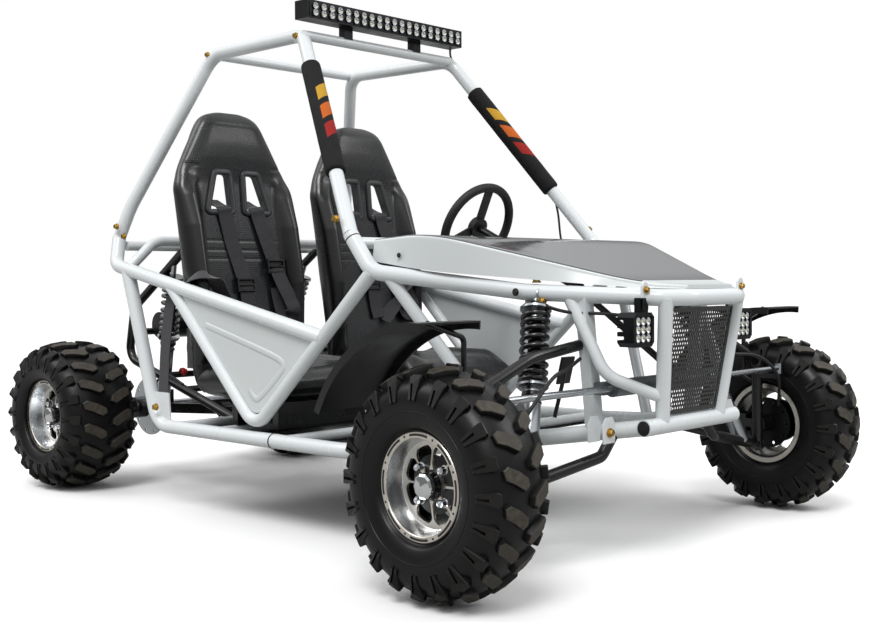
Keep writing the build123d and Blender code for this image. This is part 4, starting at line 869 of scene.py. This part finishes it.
pads = makePiece("pillarPads", padParts, "padFabric", "chassis", ["pillar_pads"], 50,
                 uv=np.concatenate(padUv))
print("stage: pads")

# Hood skin: sections (x, half width of top and of foot, height of top and of foot), with round shoulders
hoodLook = dict(sections=[(470, 430, 436, 745, 692), (640, 420, 425, 757, 668), (1060, 165, 182, 641, 627.8),
                          (1140, 95, 110, 634, 625.4)], shoulder=9.0, thick=3.0, blend=70, greyColumns=23.5,
                greyX=(470.5, 1062))


def hoodGrid(inset):
    # columns go from one foot up the side, round the shoulder and across; the end rows drop as walls
    sections = np.array(hoodLook["sections"], float)
    ends = sections[:, 0]
    x = np.concatenate([np.linspace(ends[0], ends[1], 14)[:-1], np.linspace(ends[1], ends[2], 40)[:-1],
                        np.linspace(ends[2], ends[3], 10)])
    reach = np.minimum(hoodLook["blend"], np.minimum(x - ends[0], ends[3] - x))
    around = x[:, None] + np.linspace(-1, 1, 15)[None] * reach[:, None]
    topHalf, footHalf, topZ, footZ = (np.interp(around, ends,
                                                column).mean(1)[:, None] for column in sections.T[1:])
    r = np.minimum(hoodLook["shoulder"], (topZ - footZ) * 0.7)
    up = np.linspace(0, 1, 10)[None]
    arc = np.linspace(0, 1, 7)[None, 1:] * math.pi / 2
    flat = np.linspace(-1, 1, 41)[None, 1:-1]
    sideY = footHalf + (topHalf - footHalf) * up
    sideZ = footZ + (topZ - r - footZ) * up
    arcY, arcZ = topHalf - r * (1 - np.cos(arc)), topZ - r + r * np.sin(arc)
    topY, top = (topHalf - r) * flat, topZ + 0 * flat
    y = np.concatenate([-sideY, -arcY, topY, arcY[:, ::-1], sideY[:, ::-1]], 1)
    z = np.concatenate([sideZ, arcZ, top, arcZ[:, ::-1], sideZ[:, ::-1]], 1)
    y, z = y - np.sign(y) * inset, z - inset * (z > footZ + 2)
    z = np.maximum(z, footZ)
    xs = np.broadcast_to(x[:, None], y.shape).copy()
    xs[0] += inset
    xs[-1] -= inset
    low = np.broadcast_to(footZ, y.shape)
    grid = np.stack([xs, y, z], -1)
    walls = np.stack([xs, y, low], -1)
    return np.concatenate([walls[:1], grid, walls[-1:]])


outer, inner = hoodGrid(0.0), hoodGrid(hoodLook["thick"])
rows, columns = outer.shape[:2]
skin = gridFaces(rows, columns)
index = np.arange(rows * columns).reshape(rows, columns)
rim = np.concatenate([index[0, :-1], index[:-1, -1], index[-1, :0:-1], index[:0:-1, 0]])
edge = np.stack([rim, np.roll(rim, -1), np.roll(rim, -1) + rows * columns, rim + rows * columns], -1)
middle = outer.reshape(-1, 3)[skin].mean(1)
wide = np.abs(np.arange(columns - 1) - (columns - 2) / 2) < hoodLook["greyColumns"]
greyLow, greyHigh = hoodLook["greyX"]
grey = wide[None].repeat(rows - 1, 0).ravel() & (middle[:, 0] < greyHigh) & (middle[:, 0] > greyLow)
hoodPoints = np.concatenate([outer.reshape(-1, 3), inner.reshape(-1, 3)]) * mm
hoodKinds = [np.where(grey, 0, 1), np.ones(len(skin), int), np.ones(len(edge), int)]
makePiece("hoodSkin", [(hoodPoints, [skin, skin[:, ::-1] + rows * columns, edge], hoodKinds)],
          ["glossGreyPlastic", "palePaintedSheet"], "chassis", ["hood"], 30)
print("stage: hood")

# Coil springs: a round wire carried up a helix about the line of each strut, its end turns closed up
springLook = [dict(name="frontSprings", node="front_springs", low=(959.0, 431.5, 210.0),
                   high=(859.0, 287.0, 618.0), shares=(0.5, 0.9), coil=28.5, wire=5.8, turns=9.0),
              dict(name="rearSprings", node="rear_springs", low=(-807.0, 205.0, 236.5),
                   high=(-658.0, 252.0, 703.5), shares=(0.5, 0.88), coil=26.0, wire=5.4, turns=9.0)]
damperParts = []
for look in springLook:
    parts = []
    for side in (1, -1):
        low, high = np.array(look["low"]) * (1, side, 1), np.array(look["high"]) * (1, side, 1)
        axis = (high - low) / np.linalg.norm(high - low)
        first = np.cross(axis, (0, 1, 0))
        first /= np.linalg.norm(first)
        second = np.cross(axis, first)
        run = np.linspace(0, 1, 300)
        angle = run * look["turns"] * turn
        climb = 0.03 + 0.94 * (run - 0.035 * np.sin(turn * run))
        share = look["shares"][0] + climb * (look["shares"][1] - look["shares"][0])
        spoke = np.cos(angle)[:, None] * first + np.sin(angle)[:, None] * second
        path = low + share[:, None] * (high - low) + look["coil"] * spoke
        parts.append((*sweep(path * mm, circle(12, look["wire"] * mm), axis), 0))
        # the damper: collars below the coil, a seat above, a body inside, as (share, radius, height)
        length = np.linalg.norm(high - low)
        foot, head = look["shares"]
        for place, radius, tall in ((foot - 0.012, 32, 8), (foot - 0.05, 24, 10), (foot - 0.09, 22, 6),
                                    (head + 0.012, 33, 9),
                                    ((foot + head) / 2, 15, 130)):
            half, chamfer = tall / 2, 1.5
            ring = [(-half, 6), (-half, radius - chamfer), (-half + chamfer, radius), (half - chamfer, radius),
                    (half, radius - chamfer), (half, 6)]
            damperParts.append((*turned(np.array(ring) * mm, (low + axis * length * place) * mm, axis, 36), 0))
    makePiece(look["name"], parts, "glossBlackWire", "chassis", [look["node"]], 60)
makePiece("damperCollars", damperParts, "glossBlackWire", "chassis", (), 40)
print("stage: springs")


def ledBoard(centre, columns, rows, pitch, cup, depth, size):
    # a dark board with rows of bright cups, each with a small pale lens at its heart, facing ahead
    board = square * (size[0] / 2, size[1] / 2)
    made = [(*slab(board, 1.5, (np.asarray(centre) - (depth - 0.8, 0, 0)) * mm, (0, 1, 0), (0, 0, 1)), 0)]
    ring = [(-depth + 1, cup * 0.35), (-depth + 1.4, cup * 0.35), (-0.6, cup * 0.93), (-0.4, cup), (-1.2, cup),
            (-depth, cup * 0.45)]
    bead = [(-depth + 0.6, 0.05), (-depth + 0.6, cup * 0.4), (-depth + 2.2, cup * 0.34),
            (-depth + 3.0, cup * 0.15), (-depth + 3.1, 0.05)]
    for j in range(rows):
        for k in range(columns):
            spot = (np.asarray(centre) + (0, (k - (columns - 1) / 2) * pitch[0],
                                          (j - (rows - 1) / 2) * pitch[1])) * mm
            made.append((*turned(np.array(ring) * mm, spot, (1, 0, 0), 16), 1))
            made.append((*turned(np.array(bead) * mm, spot, (1, 0, 0), 10), 2))
    return made


# Roof light bar and front pods: boards of reflectors in place of the plain lenses, sizes in mm
lampLook = dict(bar=dict(columns=20, rows=2, pitch=(28.4, 18.2), cup=8.9, depth=6.6, size=(574, 38)),
                pod=dict(columns=3, rows=3, pitch=(18.6, 18.6), cup=9.2, depth=5.0, size=(57, 57)),
                podOut=208.0)
lampFinish = ["blackAnodised", "chromePlate", "ledPhosphor"]
barLow, barHigh = (np.array(corner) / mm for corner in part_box("light_bar_lens"))
makePiece("lightBarBoard", ledBoard((barHigh[0] - 1, 0, (barLow[2] + barHigh[2]) / 2), **lampLook["bar"]),
          lampFinish, "chassis", ["light_bar_lens"], 30)
podLow, podHigh = (np.array(corner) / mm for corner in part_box("lamp_pod_lenses"))
podParts = []
for side in (1, -1):
    podParts += ledBoard((podHigh[0] - 0.4, side * lampLook["podOut"], (podLow[2] + podHigh[2]) / 2),
                         **lampLook["pod"])
makePiece("podBoards", podParts, lampFinish, "chassis", ["lamp_pod_lenses"], 30)
print("stage: lamps")

# Grille: a leaned sheet, half width growing with height, punched with small round holes in staggered rows
grilleLook = dict(low=339.4, high=581.3, foot=98.0, head=128.5, x=1089.6, lean=0.1203, pitch=9.6, hole=3.3,
                  thick=2.0, border=7.0)


def grilleParts():
    # each hole is a square cell: eight outline points, eight on the hole, front and back, joined by quads
    look = grilleLook
    pitch = look["pitch"]
    low, high = look["low"] + look["border"], look["high"] - look["border"]
    count = int((high - low) / pitch)
    places = []
    for row in range(count):
        z = low + (row + 0.5) * (high - low) / count
        rise = (look["head"] - look["foot"]) * (z - look["low"])
        half = look["foot"] + rise / (look["high"] - look["low"]) - look["border"]
        number = int(2 * half / pitch) // 2 * 2 + row % 2
        places.append(np.stack([(np.arange(number) - (number - 1) / 2) * pitch, np.full(number, z)], -1))
    places = np.concatenate(places)
    tall = (high - low) / count / 2
    outline = np.array([(1, 0), (1, 1), (0, 1), (-1, 1), (-1, 0), (-1, -1), (0, -1), (1, -1)], float)
    flat = np.concatenate([outline * (pitch / 2, tall), circle(8, look["hole"])])
    spots = places[:, None] + flat[None]
    x = look["x"] + look["lean"] * (spots[..., 1] - look["low"])
    front = np.stack([x + look["thick"] / 2, spots[..., 0], spots[..., 1]], -1)
    back = front - (look["thick"], 0, 0)
    points = np.concatenate([front, back], 1)
    k = np.arange(8)
    n = (k + 1) % 8
    cell = np.concatenate([np.stack([k, n, 8 + n, 8 + k], -1), np.stack([16 + k, 24 + k, 24 + n, 16 + n], -1),
                           np.stack([8 + k, 8 + n, 24 + n, 24 + k], -1), np.stack([k, 16 + k, 16 + n, n], -1)])
    faces = (cell[None] + np.arange(len(places))[:, None, None] * 32).reshape(-1, 4)
    made = [(points.reshape(-1, 3) * mm, [faces], 0)]
    corners = np.array([(-look["foot"], look["low"]), (look["foot"], look["low"]), (look["head"], look["high"]),
                        (-look["head"], look["high"])])
    inner = corners + np.array([(6, 6), (-6, 6), (-6, -6), (6, -6)])
    loop = (corners + inner) / 2
    path = np.stack([look["x"] + look["lean"] * (loop[:, 1] - look["low"]), loop[:, 0], loop[:, 1]], -1)
    steps = np.linspace(0, 1, 8)[:-1, None]
    dense = np.concatenate([start + steps * (end - start) for start, end in zip(path, np.roll(path, -1, 0))])
    made.append((*loopSweep(dense * mm, square * (5, 1.4) * mm, (0.993, 0, -0.119)), 0))
    return made


makePiece("grilleSheet", grilleParts(), "powderCoatBlack", "chassis", ["grille"], 30)
print("stage: grille")

# Door pressing: a shallow rib, open at the back, on each panel (x, z in mm)
doorLook = dict(rib=[(-212, 548), (-60, 512), (120, 468), (190, 447), (206, 430), (196, 410), (130, 355),
                     (84, 322), (62, 316), (40, 330), (30, 344)], face=465.2, about=(10, 440), scale=0.8,
                middle=(4, 438))
ribParts = []
for side in (1, -1):
    flat = spline((np.array(doorLook["rib"]) - doorLook["about"]) * doorLook["scale"] + doorLook["middle"], 110)
    path = np.stack([flat[:, 0], np.full(len(flat), side * doorLook["face"]), flat[:, 1]], -1)
    ribParts.append((*sweep(path * mm, oval(12, 9.0 * mm, 2.6 * mm), (0, side, 0)), 0))
makePiece("doorRibs", ribParts, "palePaintedSheet", "chassis", (), 60)

# Cables: lamp lead, brake hoses, pod leads, rear hose, as (path in mm, radius, whether it is on one side only)
cableLook = [([(20, 289, 1372), (-4, 300, 1345), (8, 305, 1312), (60, 322, 1256), (150, 355, 1128),
               (240, 392, 1000), (300, 418, 915), (322, 425, 850), (330, 430, 770), (345, 432, 735)], 3.2,
              True), ([(1000, -556, 300), (1030, -500, 385), (1020, -420, 440), (985, -330, 452),
                       (965, -262, 470)], 4.2, False),
             ([(880, -330, 600), (930, -270, 575), (1000, -215, 570), (1065, -205, 565)], 4.0, False),
             ([(-560, -290, 330), (-680, -270, 355), (-800, -220, 330), (-905, -180, 300)], 4.5, True)]
cableParts = []
for points, radius, single in cableLook:
    for hand in ((1,) if single else (1, -1)):
        path = spline(np.array(points, float) * (1, hand, 1), 80)
        cableParts.append((*sweep(path * mm, circle(10, radius * mm),
                                  (1, 0.2, 0.1) if single else (0.3, 0.2, 1)), 0))
makePiece("cables", cableParts, "gripRubber", "chassis", (), 60)


def arch(half, foot, rise):
    # a plate outline with a square foot and a round head
    return np.vstack([[(-half, foot), (half, foot)], circle(14, half)[:8] + (0, rise)])


# Brackets in mm: pairs of bolted plates, single tabs by side, and caps in the ends of the bumper bar
pairLook = dict(clevis=dict(place=(859, 290, 592), gap=15, outline=arch(15.0, -16, 22), boltUp=6.0, bolt=17),
                yoke=dict(place=(1012, 246, 312), gap=21, boltUp=-4, bolt=18,
                          outline=[(-20, -28), (20, -28), (24, 10), (12, 30), (-12, 30), (-24, 10)]))
tabLook = dict(outline=arch(12.0, -30, 20), bolt=14, places={1: (1150, 112, 618), -1: (1088, -186, 610)},
               bolts={1: (1153, 112, 630), -1: (1091, -186, 624)})
capLook = dict(place=(1085, 186, 315), profile=[(0, 0.1), (0, 16.5), (1.6, 16.5), (2.6, 14), (2.6, 0.1)])
upright = (0, 1, 0), (0, 0, 1)
plateParts, zincParts, boltParts, capParts = [], [], [], []
for side in (1, -1):
    for target, look in ((zincParts, pairLook["clevis"]), (plateParts, pairLook["yoke"])):
        for end in (-1, 1):
            spot = (np.array(look["place"]) * (1, side, 1) + (end * look["gap"], 0, 0)) * mm
            target.append((*slab(look["outline"], 4.0, spot, *upright, 0.6), 0))
            boltParts += bolt(spot + np.array([end * 2.2, 0, look["boltUp"]]) * mm, (end, 0, 0), look["bolt"])
    spot = np.array(tabLook["places"][side]) * mm
    plateParts.append((*slab(tabLook["outline"], 5.0, spot, *upright, 0.8), 0))
    boltParts += bolt(np.array(tabLook["bolts"][side]) * mm, (1, 0, 0), tabLook["bolt"])
    capPlace = np.array(capLook["place"]) * (1, side, 1) * mm
    capParts.append((*turned(np.array(capLook["profile"]) * mm, capPlace, (0, side, 0), 32), 0))
makePiece("endCaps", capParts, "gripRubber", "chassis", (), 40)
makePiece("hoopTabs", plateParts, "powderCoatWhite", "chassis", (), 30)
makePiece("shockClevises", zincParts, "zincSteel", "chassis", (), 30)
makePiece("bracketBolts", boltParts, "yellowZinc", "chassis", (), 30)
tapLook = dict(place=(-736, -165, 353), profile=[(0, 0.1), (0, 9), (8, 9), (8, 13), (18, 13), (20, 11),
                                                 (20, 0.1)])
tap = turned(np.array(tapLook["profile"]) * mm, np.array(tapLook["place"]) * mm, (0, -1, 0), 12)
makePiece("fuelTap", [(*tap, 0)], "redPlastic", "chassis", (), 25)
# Pipe joints: thin dark rings on the screen pillars and the lower rails, as (place, axis, radius)
jointLook = [((434, 464, 745), (75, 0, -90), 18.4), ((120, 464, 235), (1, 0, 0), 19.4)]
ringParts = []
for side in (1, -1):
    for place, axis, radius in jointLook:
        ring = np.array([(-1.6, 14), (-1.6, radius + 0.9), (1.6, radius + 0.9), (1.6, 14)])
        ringParts.append((*turned(ring * mm, np.array(place) * (1, side, 1) * mm, axis, 36), 0))
makePiece("pipeJoints", ringParts, "gripRubber", "chassis", (), 40)
print("stage: brackets and cables")

# Small hardware, all on the chassis; places in mm for the right side, mirrored for the left
hardwareLook = dict(gold=[((395, -483, 793), (0, -1, 0.1), 17), ((-425, -281, 1308), (0, -1, 0), 15),
                          ((10, -298, 1306), (0, -1, 0), 15), ((-640, -453, 805), (0, -1, 0), 16),
                          ((-600, -453, 775), (0, -1, 0), 16), ((859, -287, 640), (0, 0, 1), 18),
                          ((-390, -484, 290), (0, -1, 0), 18)],
                    black=[((835, -331, 619), (0, -1, 0), 15), ((560, -433, 705), (0, -1, 0), 10)])
goldParts, blackParts = [], []
for side in (-1, 1):
    mirror = np.array([1, -side, 1])
    for place, axis, size in hardwareLook["gold"]:
        goldParts += bolt(np.array(place) * mirror * mm, np.array(axis) * mirror, size)
    for place, axis, size in hardwareLook["black"]:
        blackParts += bolt(np.array(place) * mirror * mm, np.array(axis) * mirror, size, 0.35, 1.2, 18)
makePiece("passivatedBolts", goldParts, "yellowZinc", "chassis", (), 30)
makePiece("blackPlugs", blackParts, "gripRubber", "chassis", (), 30)
print("stage: hardware")

stageLook = dict(yard="#A8A8A6", floorSize=60.0, sky=(0.2, 0.86), sun=1.55, sunWidth=24.0,
                 sunFrom=(0.4, -0.6, 1.0), aim=(0, 0, 0.6),
                 boxes=[((-3.0, -3.0, 4.5), 2.5, 60), ((3.5, 2.5, 3.5), 2.0, 50)])
cameraLook = dict(place=(2.6728, -2.366, 0.658), yaw=39.85, pitch=1.33, roll=-0.2, lens=50.157,
                  shift=(-0.1467, -0.0093), sensor=36.0, far=200.0)


def setCamera():
    # the photograph's eye point: yaw turns from +Y towards -X, pitch looks down
    yaw, pitch, roll = (math.radians(cameraLook[key]) for key in ("yaw", "pitch", "roll"))
    ahead = Vector((-math.sin(yaw) * math.cos(pitch), math.cos(yaw) * math.cos(pitch), -math.sin(pitch)))
    right = Vector((math.cos(yaw), math.sin(yaw), 0.0))
    above = right.cross(ahead)
    facing = Matrix((right, above, -ahead)).transposed() @ Matrix.Rotation(roll, 3, "Z")
    camera = bpy.data.objects.new("camera", bpy.data.cameras.new("camera"))
    camera.data.lens = cameraLook["lens"]
    camera.data.sensor_width = cameraLook["sensor"]
    camera.data.shift_x, camera.data.shift_y = cameraLook["shift"]
    camera.data.clip_end = cameraLook["far"]
    camera.matrix_world = Matrix.Translation(cameraLook["place"]) @ facing.to_4x4()
    bpy.context.scene.collection.objects.link(camera)
    bpy.context.scene.camera = camera


def setStage():
    # a pale floor that keeps the shadow, a world that is white to the eye, and soft lamps
    half = stageLook["floorSize"] / 2
    mesh = bpy.data.meshes.new("floor")
    mesh.from_pydata([(-half, -half, 0), (half, -half, 0), (half, half, 0), (-half, half, 0)], [],
                     [(0, 1, 2, 3)])
    material, tree, shader, place = startMaterial("paleFloor")
    speckle = addNode(tree, "TexNoise", inputs={"Vector": place, "Scale": perMetre(300)})
    tone = addNode(tree, "Mix", {"data_type": "RGBA"},
                   {"Factor": speckle, 6: hexColour("#FAFAFA"), 7: hexColour("#FCFCFC")}, 2)
    # what the kart sees of the floor is a mid grey yard; the eye sees the white card
    eye = addNode(tree, "LightPath", output="Is Camera Ray")
    seen = addNode(tree, "Mix", {"data_type": "RGBA"},
                   {"Factor": eye, 6: hexColour(stageLook["yard"]), 7: tone}, 2)
    fill(tree, shader, {"Base Color": seen, "Roughness": 1.0, "Specular IOR Level": 0.0})
    mesh.materials.append(material)
    floor = bpy.data.objects.new("floor", mesh)
    bpy.context.scene.collection.objects.link(floor)
    world = bpy.data.worlds.new("studio")
    bpy.context.scene.world = world
    world.use_nodes = True
    tree = world.node_tree
    # other rays meet a sky that brightens with height
    split = addNode(tree, "SeparateXYZ", inputs={"Vector": addNode(tree, "TexCoord", output="Generated")},
                    output="Z")
    sky = addNode(tree, "MapRange", {"interpolation_type": "SMOOTHSTEP"},
                  {"Value": split, "From Min": 0.08, "From Max": 0.5, "To Min": stageLook["sky"][0],
                   "To Max": stageLook["sky"][1]})
    eye = addNode(tree, "LightPath", output="Is Camera Ray")
    seen = addNode(tree, "Mix", {"data_type": "FLOAT"}, {"Factor": eye, "A": sky, "B": 1.0})
    fill(tree, tree.nodes["Background"], {"Strength": seen, "Color": (1.0, 1.0, 1.0, 1.0)})
    sun = bpy.data.lights.new("sun", "SUN")
    sun.energy = stageLook["sun"]
    sun.angle = math.radians(stageLook["sunWidth"])
    holder = bpy.data.objects.new("sun", sun)
    holder.matrix_world = (-Vector(stageLook["sunFrom"])).to_track_quat("-Z", "Y").to_matrix().to_4x4()
    bpy.context.scene.collection.objects.link(holder)
    # soft boxes: place, size, power, all aimed at the middle of the kart
    for k, (place, size, power) in enumerate(stageLook["boxes"]):
        lamp = bpy.data.lights.new(f"softbox{k}", "AREA")
        lamp.size = size
        lamp.energy = power
        holder = bpy.data.objects.new(f"softbox{k}", lamp)
        aim = Vector(stageLook["aim"]) - Vector(place)
        holder.matrix_world = Matrix.Translation(place) @ aim.to_track_quat("-Z", "Y").to_matrix().to_4x4()
        bpy.context.scene.collection.objects.link(holder)


setCamera()
setStage()
view = bpy.context.scene.view_settings
view.view_transform = "Standard"
print("stage: finished")
